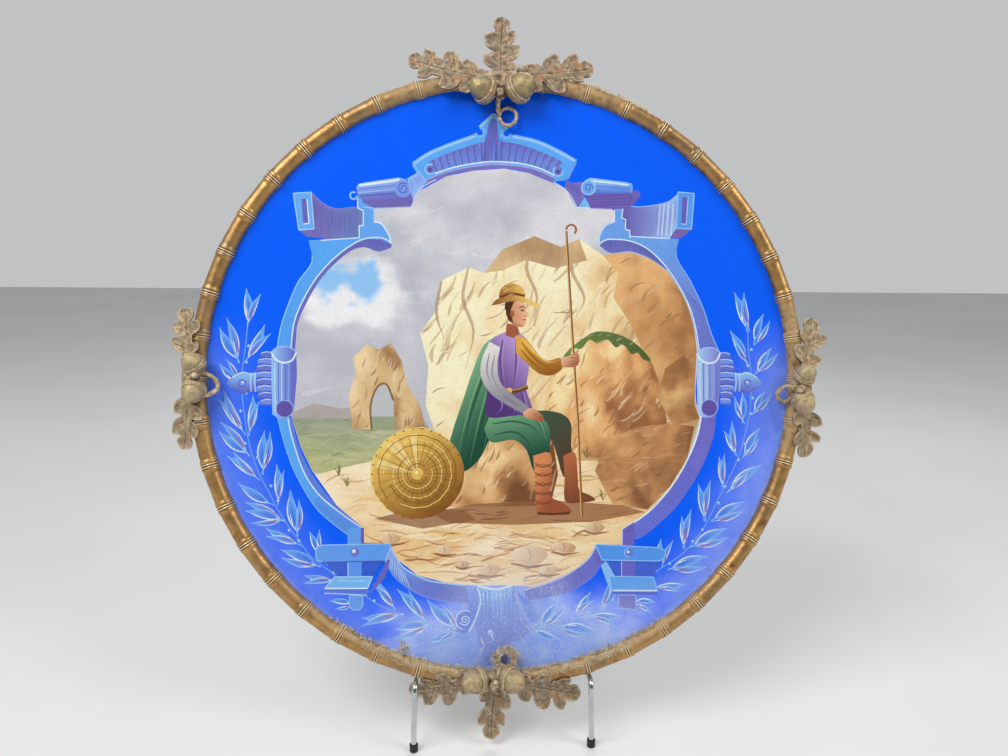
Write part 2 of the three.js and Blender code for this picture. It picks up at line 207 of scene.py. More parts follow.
def bamboo_bronze():
    """Brown cast bronze, rubbed bright and with painted highlights on its beads, painted lighter on its
    outward side, with painted shade and patina in its grooves and dust low on the ring and beside the mounts.
    """
    bronze = Finish("bamboo_bronze")
    wear_and_light = bronze.attribute("WearAndLight")
    mottle = bronze.noise(9, 6.0, 0.6)
    fine = bronze.noise(1.6, 4.0, 0.6)
    # Painted light: the beads, the raised collars and the side that faces out from the plate come out
    # lighter, along with rubbed metal and mottle.
    worn_and_lit = bronze.remap(bronze.sum("ADD", wear_and_light, bronze.sum("MULTIPLY", mottle, 0.9)), 0.45, 1.25)
    metal = bronze.mix(worn_and_lit, (96, 68, 42), (206, 160, 96))
    stain = bronze.remap(bronze.noise(24, 6.0, 0.65), 0.48, 0.68, 0.0, 0.6)
    metal = bronze.mix(stain, metal, (146, 124, 98))
    burnt = bronze.remap(bronze.noise(13, 5.0, 0.6), 0.56, 0.72, 0.0, 0.7)
    metal = bronze.mix(burnt, metal, (104, 66, 38))
    # Painted shade with patina: the grooves darkened.
    sunk = bronze.remap(wear_and_light, 0.06, 0.24, 0.62, 0.0)
    metal = bronze.mix(sunk, metal, (58, 42, 28))
    # Painted highlight on the beads, where the metal is also rubbed bright.
    bead = bronze.remap(wear_and_light, 0.8, 0.98, 0.0, 0.75)
    metal = bronze.mix(bead, metal, (246, 226, 182))
    film = bronze.attribute("Dust")
    dust = bronze.sum("MULTIPLY", film, bronze.remap(bronze.noise(4, 6.0, 0.7), 0.3, 0.6))
    bronze.colour(bronze.mix(dust, metal, (192, 170, 132)))
    bronze.set(Metallic=bronze.remap(dust, 0.0, 1.0, 0.72, 0.0))
    bronze.set(Roughness=bronze.remap(bronze.sum("ADD", fine, dust), 0.3, 1.2, 0.36, 0.8))
    bronze.bump(fine, 0.06)
    return bronze.material


def leaf_bronze():
    """Dull grey-brown cast bronze with warm patches, brassy where the acorns are rubbed, with a painted glint
    on the acorns, painted highlights on the rims and bumps and painted shade in the veins.
    """
    bronze = Finish("leaf_bronze")
    wear_and_light = bronze.attribute("WearAndLight")
    mottle = bronze.noise(6, 6.0, 0.65)
    fine = bronze.noise(1.2, 5.0, 0.65)
    # Painted light with rubbed metal: the rolled rims and bumps paler, the engraved veins darker.
    raised = bronze.remap(bronze.sum("ADD", wear_and_light, bronze.sum("MULTIPLY", fine, 0.5)), 0.4, 1.2)
    metal = bronze.mix(raised, (112, 92, 72), (226, 206, 176))
    metal = bronze.mix(bronze.remap(mottle, 0.5, 0.68, 0.0, 0.85), metal, (178, 122, 74))
    metal = bronze.mix(bronze.remap(bronze.noise(9, 4.0), 0.55, 0.7, 0.0, 0.5), metal, (152, 144, 134))
    scratches = bronze.hairlines(6, 0.014)
    metal = bronze.mix(bronze.sum("MULTIPLY", scratches, 0.5), metal, (78, 60, 44))
    # Painted shade in the engraved veins.
    dark = bronze.remap(wear_and_light, 0.02, 0.34, 0.55, 0.0)
    metal = bronze.mix(dark, metal, (70, 56, 44))
    brass_and_glint = bronze.attribute("BrassAndGlint")
    brass = bronze.sum("MULTIPLY", brass_and_glint, bronze.remap(mottle, 0.34, 0.62, 1.0, 0.55))
    metal = bronze.mix(brass, metal, (146, 132, 84))
    # A painted glint of light on the brassy acorns.
    glint = bronze.sum("MULTIPLY", brass_and_glint, bronze.remap(bronze.noise(8, 3.0), 0.5, 0.66, 0.0, 0.8))
    metal = bronze.mix(glint, metal, (222, 198, 116))
    film = bronze.attribute("Dust")
    dust = bronze.sum("MULTIPLY", film, bronze.remap(bronze.noise(2.4, 6.0, 0.7), 0.36, 0.58, 0.1, 1.0))
    bronze.colour(bronze.mix(dust, metal, (206, 186, 140)))
    bronze.set(Metallic=bronze.remap(brass, 0.0, 1.0, 0.4, 0.72))
    bronze.set(Roughness=bronze.remap(bronze.sum("SUBTRACT", brass, dust), 0.0, 1.0, 0.6, 0.38))
    bronze.bump(bronze.sum("SUBTRACT", bronze.sum("ADD", fine, mottle), scratches), 0.35)
    return bronze.material


def chromed_wire():
    chrome = Finish("chromed_wire")
    chrome.colour(chrome.mix(chrome.remap(chrome.noise(12, 3.0), 0.4, 0.7), (205, 207, 210), (190, 192, 196)))
    chrome.set(Metallic=1.0, Roughness=chrome.remap(chrome.noise(3, 5.0), 0.4, 0.75, 0.07, 0.2))
    return chrome.material


def dark_rubber():
    rubber = Finish("dark_rubber")
    rubber.colour(rubber.mix(rubber.remap(rubber.noise(2, 4.0), 0.4, 0.7), (24, 24, 25), (44, 43, 42)))
    rubber.set(Roughness=0.62)
    rubber.bump(rubber.noise(0.5, 3.0), 0.05)
    return rubber.material


def dusty_lint():
    lint = Finish("dusty_lint")
    lint.colour(lint.mix(lint.remap(lint.noise(5, 3.0), 0.35, 0.7), (206, 186, 148), (244, 232, 204)))
    lint.set(Roughness=0.95)
    return lint.material


def pale_floor():
    floor = Finish("pale_floor")
    floor.colour(floor.mix(floor.remap(floor.noise(400, 3.0), 0.3, 0.7), (222, 222, 222), (228, 228, 228)))
    floor.set(Roughness=0.7)
    return floor.material


# Making pieces

def add_piece(name, mesh, material):
    mesh.name = name
    mesh.materials.clear()
    mesh.materials.append(material)
    piece = bpy.data.objects.new(name, mesh)
    bpy.context.scene.collection.objects.link(piece)
    return piece


def mesh_of(points, faces):
    mesh = bpy.data.meshes.new("drawn")
    mesh.from_pydata(points, [], faces)
    mesh.polygons.foreach_set("use_smooth", [True] * len(mesh.polygons))
    mesh.update()
    return mesh


def give_values(mesh, name, values):
    layer = mesh.attributes.new(name, "FLOAT", "POINT")
    layer.data.foreach_set("value", values)


def applied(piece):
    """Turns a piece with live nodes into a plain mesh and takes its modifiers off."""
    bpy.context.view_layer.update()
    shown = piece.evaluated_get(bpy.context.evaluated_depsgraph_get())
    mesh = bpy.data.meshes.new_from_object(shown)
    piece.modifiers.clear()
    return mesh


class NodeRun:
    """A geometry node tree with named inputs, put on a piece as its one modifier."""

    def __init__(self, name, inputs):
        self.tree = bpy.data.node_groups.new(name, "GeometryNodeTree")
        self.tree.is_modifier = True
        face = self.tree.interface
        face.new_socket("Geometry", in_out="INPUT", socket_type="NodeSocketGeometry")
        self.keys = {}
        for label, (kind, _) in inputs.items():
            socket = face.new_socket(label, in_out="INPUT", socket_type=kind)
            self.keys[label] = socket.identifier
        face.new_socket("Geometry", in_out="OUTPUT", socket_type="NodeSocketGeometry")
        self.values = {label: value for label, (_, value) in inputs.items()}
        self.start = self.tree.nodes.new("NodeGroupInput")
        self.end = self.tree.nodes.new("NodeGroupOutput")

    def node(self, kind, settings=None, **sockets):
        made = self.tree.nodes.new(kind)
        for key, value in (settings or {}).items():
            setattr(made, key, value)
        for key, value in sockets.items():
            self.give(made.inputs[key.replace("_", " ")], value)
        return made

    def give(self, socket, value):
        if isinstance(value, bpy.types.NodeSocket):
            self.tree.links.new(value, socket)
        else:
            socket.default_value = value

    def asked(self, label):
        return self.start.outputs[label]

    def finish(self, geometry, material):
        whole = self.node("GeometryNodeRealizeInstances", Geometry=geometry).outputs[0]
        coated = self.node("GeometryNodeSetMaterial", Geometry=whole, Material=material).outputs[0]
        self.give(self.end.inputs[0], coated)

    def run_on(self, piece):
        modifier = piece.modifiers.new("nodes", "NODES")
        modifier.node_group = self.tree
        for label, key in self.keys.items():
            modifier[key] = self.values[label]
        return applied(piece)


# The bamboo ring

# Distance from the joint and the bamboo's radius there.
JOINT_PROFILE = [
    (0.0, 6.58), (0.35, 6.58), (0.55, 6.86), (0.8, 6.98), (1.05, 6.98), (1.3, 6.86), (1.5, 6.6), (1.75, 6.58),
    (2.2, 6.72), (2.9, 6.78), (3.6, 6.66), (4.3, 6.36), (5.0, 6.14), (6.0, 6.1), (7.5, 6.2), (9.5, 6.14),
    (12.0, 6.06), (14.0, 6.03), (15.98, 6.02),
]
# How far from the joint its bead and its grooves lie.
BEAD = (0.5, 1.35)
GROOVES = ((-1.0, 0.4), (1.4, 1.9))
GIRTH_POINTS = 22
JOINTS_PER_STRIP = 8
WELD_GAP = 0.02


def bamboo_section(radius):
    """The round of the bamboo with the rebate for the plate cut from its inner back."""
    lip = math.pi - math.asin(REBATE_LIP / radius)
    back = -math.acos((REBATE_RADIUS - RING_RADIUS) / radius)
    section = []
    for step in range(GIRTH_POINTS):
        angle = blend(back, lip, step / (GIRTH_POINTS - 1))
        section.append((radius * math.cos(angle), radius * math.sin(angle)))
    section.append((REBATE_RADIUS - RING_RADIUS, REBATE_LIP))
    return section


def stick_faces(rows, profile):
    """The faces between rows of points, and each corner's place on the map."""
    faces, places = [], []
    girth = len(rows[0])
    for i in range(len(rows) - 1):
        near, far = (0.5 + 0.5 * profile[k][0] / JOINT_PROFILE[-1][0] for k in (i, i + 1))
        for j in range(girth):
            nxt = (j + 1) % girth
            faces.append((rows[i][nxt], rows[i + 1][nxt], rows[i + 1][j], rows[i][j]))
            low, high = j / girth, (j + 1) / girth
            places += [(near, high), (far, high), (far, low), (near, low)]
    return faces, places


def bamboo_stick():
    """One length of bamboo, bent to the ring, from the middle of one internode to the next."""
    profile = [(-far, radius) for far, radius in reversed(JOINT_PROFILE[1:])] + JOINT_PROFILE
    half_pitch = math.pi / BAMBOO_JOINTS
    points, wear_and_light, rows = [], [], []
    for far, radius in profile:
        angle = far / JOINT_PROFILE[-1][0] * half_pitch
        row = []
        for out, high in bamboo_section(radius):
            row.append(len(points))
            reach = RING_RADIUS + out
            points.append((reach * math.cos(angle), reach * math.sin(angle), high))
            # Bright on the beads and the raised collars, lighter on the side that faces out from the plate
            # and dark in the grooves: rubbed metal with painted highlights and painted shade.
            on_bead = BEAD[0] < abs(far) < BEAD[1]
            in_groove = any(low < abs(far) < high for low, high in GROOVES)
            face_on = 0.5 + 0.5 * high / radius
            plain = 0.3 + 0.12 * ease(6.0, 6.8, radius) + 0.2 * face_on
            wear_and_light.append(1.0 if on_bead else (0.08 if in_groove else plain))
        rows.append(row)
    faces, places = stick_faces(rows, profile)
    mesh = mesh_of(points, faces)
    layer = mesh.uv_layers.new(name="OFBake")
    for i, place in enumerate(places):
        layer.data[i].uv = place
    give_values(mesh, "WearAndLight", wear_and_light)
    return mesh


def repeated_round(mesh, count, material):
    inputs = {"Joints": ("NodeSocketInt", count), "Weld": ("NodeSocketFloat", WELD_GAP)}
    run = NodeRun("bamboo_round_the_plate", inputs)
    spots = run.node("GeometryNodePoints", Count=run.asked("Joints"))
    turn = run.node("ShaderNodeMath", {"operation": "DIVIDE"})
    run.give(turn.inputs[0], 2 * math.pi)
    run.give(turn.inputs[1], run.asked("Joints"))
    angle = run.node("ShaderNodeMath", {"operation": "MULTIPLY"})
    run.give(angle.inputs[0], run.node("GeometryNodeInputIndex").outputs[0])
    run.give(angle.inputs[1], turn.outputs[0])
    euler = run.node("ShaderNodeCombineXYZ", Z=angle.outputs[0])
    copies = run.node("GeometryNodeInstanceOnPoints", Points=spots.outputs[0], Instance=run.asked("Geometry"))
    run.give(copies.inputs["Rotation"], euler.outputs[0])
    loose = run.node("GeometryNodeRealizeInstances", Geometry=copies.outputs[0])
    welded = run.node("GeometryNodeMergeByDistance", Geometry=loose.outputs[0], Distance=run.asked("Weld"))
    run.finish(welded.outputs[0], material)
    holder = add_piece("bamboo_stick", mesh, material)
    ring = run.run_on(holder)
    bpy.data.objects.remove(holder)
    return ring


def lay_out_in_strips(mesh, joints, per_strip):
    """Lays the ring's joints side by side in rows, so its map fills a square."""
    strips = math.ceil(joints / per_strip)
    layer = mesh.uv_layers["OFBake"].data
    for face in mesh.polygons:
        centre = face.center
        index = round(math.atan2(centre.y, centre.x) / (2 * math.pi) * joints) % joints
        column, strip = index % per_strip, index // per_strip
        for corner in face.loop_indices:
            along, up = layer[corner].uv
            layer[corner].uv = ((column + along) / per_strip, (strip + 0.03 + 0.94 * up) / strips)


def bamboo_ring():
    bronze = bamboo_bronze()
    mesh = repeated_round(bamboo_stick(), BAMBOO_JOINTS, bronze)
    lay_out_in_strips(mesh, BAMBOO_JOINTS, JOINTS_PER_STRIP)
    dust = []
    for vertex in mesh.vertices:
        x, y, z = vertex.co
        low = ease(0.55, 1.0, -y / RING_RADIUS)
        inner = ease(0.0, 5.0, RING_RADIUS + 0.5 - math.hypot(x, y))
        beside_mount = ease(66, 46, abs(y)) * (0.6 if x > 0 else 0.15)
        beside_mount += 0.55 * ease(112, 66, abs(x)) * ease(0, 60, y)
        dust.append(clamp(low * (0.15 + 0.95 * inner) * ease(-4, 1, z) + beside_mount))
    give_values(mesh, "Dust", dust)
    mesh.transform(plate_to_world)
    mesh.set_sharp_from_angle(angle=math.radians(50))
    ring = add_piece("bamboo_bronze_ring", mesh, bronze)
    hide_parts("bamboo_ring")
    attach(ring, "root")
    return ring


# The oak-leaf castings

class Casting:
    """Gathers the leaves, acorns and stalks of one mount as one mesh."""

    def __init__(self):
        self.points = []
        self.faces = []
        self.wear_and_light = []
        self.brass = []

    def add(self, points, faces, wear_and_light, brass=0.0):
        start = len(self.points)
        self.points += points
        self.faces += [tuple(start + index for index in face) for face in faces]
        self.wear_and_light += wear_and_light
        # The brass share also places a painted glint on the acorns.
        self.brass += [brass] * len(points)

    def mesh(self):
        made = mesh_of(self.points, self.faces)
        give_values(made, "WearAndLight", self.wear_and_light)
        give_values(made, "BrassAndGlint", self.brass)
        return made


def side_width(share, lobes, leaf, length):
    """Half a leaf's width on one side: round lobes, a narrow waist between them and a round end."""
    far = (1 - share) * length / leaf["end"]
    end = leaf["end"] * math.sqrt(max(0.0, 1 - (far - 1) ** 2))
    if far < 1:
        return end
    waist = length * blend(LEAF_WAIST_SHARE, LEAF_END_WAIST_SHARE, ease(2.8, 1.6, far))
    width = max(end, waist)
    for place, reach, half in lobes:
        near = abs(share - place) * length / half
        if near < 1:
            width = max(width, blend(waist, reach, (1 - near ** 2.7) ** 0.5))
    return width


LEAF_DROP = 9.0
LEAF_DROP_REACH = 12.0


def leaf_rest_height(x, y):
    """Leaves lie on the ring and droop a little outside it."""
    outside = max(0.0, math.hypot(x, y + RING_RADIUS) - RING_RADIUS - 2)
    return LEAF_SEAT - LEAF_DROP * (1 - math.exp(-outside / LEAF_DROP_REACH))


def gap_to_line(spot, start, end):
    """Distance from a spot to a line, and the share of the line that it lies beside."""
    run = end - start
    share = clamp((spot - start).dot(run) / run.length_squared)
    return (spot - start - run * share).length, share


LEAF_STATIONS = 110
LEAF_POINTS_ACROSS = 33
MIDRIB_DEPTH = 0.3
VEIN_DEPTH = 0.24
VEIN_SET_BACK = 3


def groove(distance, depth):
    """An engraved line with a slight burr along it."""
    cut = math.exp(-(distance / 0.42) ** 2)
    burr = math.exp(-((distance - 1.1) / 0.5) ** 2)
    return -depth * cut + 0.6 * depth * burr


def leaf_edge(leaf, length, share, hand, seed):
    """The leaf's edge beside a share of its length, as a place along and across it."""
    width = side_width(share, leaf["left"] if hand > 0 else leaf["right"], leaf, length)
    width *= 1 + 0.06 * noise.noise(Vector((share * 9, hand, seed)))
    lean = LOBE_LEAN * ease(1.0, 2.2, (1 - share) * length / leaf["end"])
    return share * length + width * math.sin(lean), hand * width * math.cos(lean)


def leaf_outline(leaf, length, seed):
    """The points of the leaf's edge, ready to be searched for the nearest."""
    outline = KDTree(2 * LEAF_STATIONS + 2)
    for i in range(LEAF_STATIONS + 1):
        for hand in (-1, 1):
            forward, lateral = leaf_edge(leaf, length, i / LEAF_STATIONS, hand, seed)
            outline.insert((forward, lateral, 0), 2 * i + (hand > 0))
    outline.balance()
    return outline


def side_veins(leaf, length):
    """Where the vein to each lobe starts and ends."""
    veins = []
    for hand, lobes in ((1, leaf["left"]), (-1, leaf["right"])):
        for place, reach, _ in lobes:
            crown = Vector((place * length + reach * math.sin(LOBE_LEAN), hand * reach * math.cos(LOBE_LEAN)))
            veins.append((Vector((place * length - VEIN_SET_BACK, 0)), crown))
    return veins


def engraving(forward, lateral, veins):
    """The depth of the midrib and of the side veins at a place on the leaf."""
    cut = groove(abs(lateral), MIDRIB_DEPTH)
    for start, end in veins:
        gap, part = gap_to_line(Vector((forward, lateral)), start, end)
        cut += groove(gap, VEIN_DEPTH) * ease(1.0, 0.6, part)
    return cut


def slab_faces(stations, across):
    """The faces of a slab: its top, its underside and the wall that joins their borders."""
    under = (stations + 1) * across
    faces = []
    for i in range(stations):
        for j in range(across - 1):
            a, b = i * across + j, i * across + j + 1
            c, d = b + across, a + across
            faces.append((a, d, c, b))
            faces.append((under + a, under + b, under + c, under + d))
    border = list(range(across))
    border += [i * across + across - 1 for i in range(1, stations + 1)]
    border += [stations * across + j for j in range(across - 2, -1, -1)]
    border += [i * across for i in range(stations - 1, 0, -1)]
    for k, first in enumerate(border):
        second = border[(k + 1) % len(border)]
        faces.append((first, second, under + second, under + first))
    return faces


def oak_leaf(leaf, seed):
    """A cast leaf with round lobes, a rolled rim, a midrib and a vein to each lobe."""
    base, tip = Vector(leaf["base"]), Vector(leaf["tip"])
    length = (tip - base).length
    along = (tip - base) / length
    side = Vector((-along.y, along.x))
    outline = leaf_outline(leaf, length, seed)
    veins = side_veins(leaf, length)
    top, bottom, wear_and_light = [], [], []
    for i in range(LEAF_STATIONS + 1):
        share = i / LEAF_STATIONS
        for j in range(LEAF_POINTS_ACROSS):
            reach = 2 * j / (LEAF_POINTS_ACROSS - 1) - 1
            forward, lateral = leaf_edge(leaf, length, share, 1 if reach > 0 else -1, seed)
            forward, lateral = blend(share * length, forward, abs(reach)), lateral * abs(reach)
            spot = base + along * forward + side * (lateral + math.sin(share * 3.1 + seed) * share)
            rim_gap = outline.find((forward, lateral, 0))[2]
            rim = math.exp(-((rim_gap - 0.5) / 0.5) ** 2)
            hollow = ease(0.8, 4.0, rim_gap)
            cut = engraving(forward, lateral, veins)
            swell = noise.noise(Vector((forward * 0.09, lateral * 0.12, seed + 5)))
            puckers = noise.noise(Vector((forward * 0.32, lateral * 0.32, seed + 9)))
            rest = leaf_rest_height(spot.x, spot.y) + 0.07 * abs(lateral) - 0.6 - leaf["curl"] * share ** 2
            rest += 1.2 * swell
            relief = 0.5 * rim - 0.55 * hollow + cut * hollow + 0.35 * puckers * hollow
            top.append((spot.x, spot.y, rest + LEAF_THICKNESS / 2 + relief - 0.2))
            bottom.append((spot.x, spot.y, rest - LEAF_THICKNESS / 2))
            # Paler on the rolled rim and the bumps, darker in the engraved veins: rubbed metal with painted
            # highlights and painted shade.
            wear_and_light.append(clamp(0.42 + 0.34 * rim * (1 + puckers) + 0.6 * cut * hollow + 0.25 * puckers))
    return top + bottom, slab_faces(LEAF_STATIONS, LEAF_POINTS_ACROSS), wear_and_light + [0.3] * len(bottom)


def turned_form(profile, rounds, place, relief=None):
    """A closed turned form: the profile's first and last points lie on the axis."""
    points, wear_and_light, faces = [], [], []
    for i, (radius, height, bright) in enumerate(profile):
        if radius == 0:
            points.append(place @ Vector((0, 0, height)))
            wear_and_light.append(bright)
            continue
        for j in range(rounds):
            angle = 2 * math.pi * j / rounds
            lift = relief(angle, i) if relief else 0.0
            spread = radius * (1 + lift)
            points.append(place @ Vector((spread * math.cos(angle), spread * math.sin(angle), height)))
            # Raised relief comes out brighter: rubbed metal with painted highlights.
            wear_and_light.append(clamp(bright + 4 * lift))
    last = len(points) - 1
    for j in range(rounds):
        nxt = (j + 1) % rounds
        faces.append((0, 1 + j, 1 + nxt))
        for i in range(len(profile) - 3):
            row = 1 + i * rounds
            faces.append((row + j, row + rounds + j, row + rounds + nxt, row + nxt))
        tail = 1 + (len(profile) - 3) * rounds
        faces.append((tail + j, last, tail + nxt))
    return [tuple(point) for point in points], faces, wear_and_light


# Radius and height as shares of the acorn's size, then how bright the metal is there: rubbed and with painted
# highlights at the nut's tip and the cup's rims, painted shade where the nut sits in the cup and between the
# rims.
NUT_PROFILE = [(0, 1.50, 1.0), (0.05, 1.44, 1.0), (0.12, 1.36, 0.9), (0.30, 1.27, 0.8), (0.52, 1.13, 0.75),
               (0.72, 0.95, 0.7), (0.88, 0.70, 0.65), (0.97, 0.45, 0.6), (1.00, 0.22, 0.5),
               (0.98, 0.10, 0.2), (0.95, 0.04, 0.05), (0.7, -0.1, 0.05), (0, -0.15, 0.05)]
CUP_PROFILE = [(0, 0.10, 0.1), (0.93, 0.10, 0.15), (1.02, 0.17, 0.95), (1.07, 0.15, 1.0), (1.09, 0.08, 0.8),
               (1.06, 0.01, 0.2), (1.08, -0.06, 0.8), (1.1, -0.14, 0.6), (1.09, -0.26, 0.45),
               (1.04, -0.42, 0.45), (0.94, -0.58, 0.4), (0.78, -0.72, 0.4), (0.56, -0.84, 0.4),
               (0.28, -0.92, 0.4), (0, -0.95, 0.4)]


def acorn(casting, spec, brass_and_glint):
    """A rubbed and dented nut in its scaly cup, both a little out of true."""
    size = spec["radius"]
    pointing = Vector(spec["pointing"]).normalized()
    turn = Vector((0, 0, 1)).rotation_difference(pointing)
    place = Matrix.Translation(spec["at"]) @ turn.to_matrix().to_4x4()
    place = place @ Matrix.Scale(size, 4)

    def lump(angle, row, coarse):
        return noise.noise(Vector((coarse * math.cos(angle), coarse * math.sin(angle), 0.55 * row + size)))

    def scales(angle, row):
        knobs = 0.035 * math.sin(9 * angle + (row % 2) * math.pi) * ease(2, 5, row)
        return knobs + 0.045 * lump(angle, row, 1.6)

    def ribs(angle, row):
        dents = 0.06 * lump(angle, row, 1.2)
        return 0.012 * math.sin(5 * angle + 1.0) + dents + 0.03 * lump(angle, 2 * row, 3.0)

    casting.add(*turned_form(NUT_PROFILE, 32, place, ribs), brass=brass_and_glint)
    casting.add(*turned_form(CUP_PROFILE, 40, place, scales), brass=0.3 * brass_and_glint)


def knot(casting, spec, seed):
    """A lumpy knob that ties the stalks together."""
    rows, rounds = 16, 28
    profile = []
    for i in range(rows + 1):
        angle = math.pi * i / rows
        radius = 0 if i in (0, rows) else math.sin(angle)
        profile.append((radius, math.cos(angle), 0.35))
    place = Matrix.Translation(spec["at"]) @ Matrix.Diagonal((*spec["size"], 1))
    points, faces, wear_and_light = turned_form(profile, rounds, place)
    lumpy = []
    for i, point in enumerate(points):
        spot = Vector(point)
        lump = noise.fractal(spot * 0.22 + Vector((seed, 0, 0)), 1.0, 2.0, 4)
        centre = Vector(spec["at"])
        lumpy.append(tuple(centre + (spot - centre) * (1 + 0.22 * lump)))
        wear_and_light[i] = clamp(0.4 + 0.9 * lump)
    casting.add(lumpy, faces, wear_and_light)


def smooth_path(corners, per_span):
    """Points on a smooth curve through the corners."""
    ends = [corners[0] * 2 - corners[1]] + corners + [corners[-1] * 2 - corners[-2]]
    path = []
    for i in range(1, len(ends) - 2):
        before, here, there, after = ends[i - 1:i + 3]
        for step in range(per_span):
            t = step / per_span
            path.append(0.5 * (
                here * 2 + (there - before) * t
                + (before * 2 - here * 5 + there * 4 - after) * t ** 2
                + (here * 3 - before - there * 3 + after) * t ** 3
            ))
    path.append(corners[-1].copy())
    return path


ROD_SIDES = 14
RING_STEPS = 40


def knobbly_rod(casting, path, wire, seed, closed=False):
    """An uneven round rod along a path, closed on itself for a ring."""
    rounds = ROD_SIDES
    points, faces, wear_and_light = [], [], []
    count = len(path)
    for i, spot in enumerate(path):
        ahead = path[(i + 1) % count] if closed or i < count - 1 else spot
        behind = path[i - 1] if closed or i > 0 else spot
        forward = (ahead - behind).normalized()
        first = forward.orthogonal() if i == 0 else first - forward * first.dot(forward)
        first.normalize()
        second = forward.cross(first)
        for j in range(rounds):
            angle = 2 * math.pi * j / rounds
            out = first * math.cos(angle) + second * math.sin(angle)
            lump = noise.noise((spot + out * wire) * 0.5 + Vector((seed, 0, 0)))
            points.append(tuple(spot + out * wire * (1 + 0.2 * lump)))
            # Lighter on the side that faces out from the plate: painted light, with the lumps of the casting.
            wear_and_light.append(clamp(0.45 + 0.6 * lump + 0.25 * out.z))
    spans = count if closed else count - 1
    for i in range(spans):
        row, ahead = i * rounds, ((i + 1) % count) * rounds
        for j in range(rounds):
            nxt = (j + 1) % rounds
            faces.append((row + j, ahead + j, ahead + nxt, row + nxt))
    if not closed:
        faces.append(tuple(range(rounds)))
        faces.append(tuple((count - 1) * rounds + j for j in reversed(range(rounds))))
    casting.add(points, [tuple(reversed(face)) for face in faces], wear_and_light)


def stalk(casting, spec, seed):
    corners = [Vector(corner) for corner in spec["through"]]
    knobbly_rod(casting, smooth_path(corners, 8), spec["wire"], seed)


def stalk_ring(casting, spec, seed):
    turn = Matrix.Rotation(spec.get("turn", 0.0), 3, "Y")
    path = []
    for i in range(RING_STEPS):
        angle = 2 * math.pi * i / RING_STEPS
        outward = turn @ Vector((math.cos(angle), math.sin(angle), 0))
        path.append(Vector(spec["at"]) + outward * spec["radius"])
    knobbly_rod(casting, path, spec["wire"], seed, closed=True)


def leaf(base, tip, end, left, right, curl=3):
    """One cast leaf. Each lobe is a share of the leaf's length, a reach and a half width."""
    return {"base": base, "tip": tip, "end": end, "left": left, "right": right, "curl": curl}


TOP_MOUNT = {
    "dust": 0.12, "brass_and_glint": 0.8,
    "turn": 0.009,
    "leaves": [
        leaf((-9, -4), (-68.5, 16.5), 6.2,
             [(0.17, 15.3, 5.6), (0.38, 17.4, 7.1), (0.71, 13.5, 5.1)],
             [(0.23, 12.1, 6.4), (0.45, 15.6, 6.9), (0.74, 11.8, 5.6)]),
        leaf((11, 0), (70.5, 10), 6.8,
             [(0.17, 9.3, 6.5), (0.43, 15.4, 6.6), (0.7, 13.5, 6.8)],
             [(0.15, 14.9, 6.6), (0.41, 18.1, 7.2), (0.74, 11.1, 5.5)]),
        leaf((0, -6), (1.5, 49), 6.4,
             [(0.09, 8.4, 3.9), (0.31, 13.5, 6.4), (0.6, 12.8, 6.4)],
             [(0.21, 10.7, 4.7), (0.43, 14.9, 6.6), (0.67, 11.1, 5.1)]),
    ],
    "acorns": [
        {"at": (-12.5, -12, 12.6), "radius": 9.2, "pointing": (-0.7, 0.3, 0.65)},
        {"at": (13, -10.5, 12.6), "radius": 10, "pointing": (0.68, 0.3, 0.67)},
    ],
    "knots": [
        {"at": (0, -6, 9.6), "size": (16, 9, 4.5)},
        {"at": (-1, -15, 14.6), "size": (5, 4.5, 4.5)},
    ],
    "stalks": [{"through": [(-2, -15, 13.6), (-2.4, -22, 9), (-1.2, -27, 5.5)], "wire": 1.9}],
    "rings": [{"at": (5, -29, 5), "radius": 6.4, "wire": 1.35}],
}
LEFT_MOUNT = {
    "dust": 0.62, "brass_and_glint": 0.48,
    "turn": math.pi / 2 - 0.003,
    "leaves": [
        leaf((13, 5), (52, 8.5), 6.2,
             [(0.26, 12.7, 5.7), (0.57, 10, 5.6)],
             [(0.17, 9.7, 3.9), (0.54, 12.4, 5.1)]),
        leaf((-11, 5), (-52.5, 8.5), 6,
             [(0.27, 13.9, 5.3), (0.59, 11.1, 6.1)],
             [(0.19, 10.5, 5.9), (0.55, 11.1, 6.5)]),
    ],
    "acorns": [
        {"at": (9.5, -1, 11.6), "radius": 7.8, "pointing": (0.7, 0.4, 0.6)},
        {"at": (-8.5, -1, 11.6), "radius": 8, "pointing": (-0.75, 0.1, 0.65)},
    ],
    "knots": [
        {"at": (0, 1, 9.6), "size": (15, 7.5, 4.2)},
        {"at": (1, -3, 15.6), "size": (4, 3.6, 3.6)},
    ],
    "stalks": [{
        "through": [
            (3, -2, 11), (2.5, -10, 9), (-2, -15.5, 7.5), (-8, -16, 7.5), (-12, -10, 9), (-13, -2, 10),
        ],
        "wire": 1.7,
    }],
    "rings": [],
}
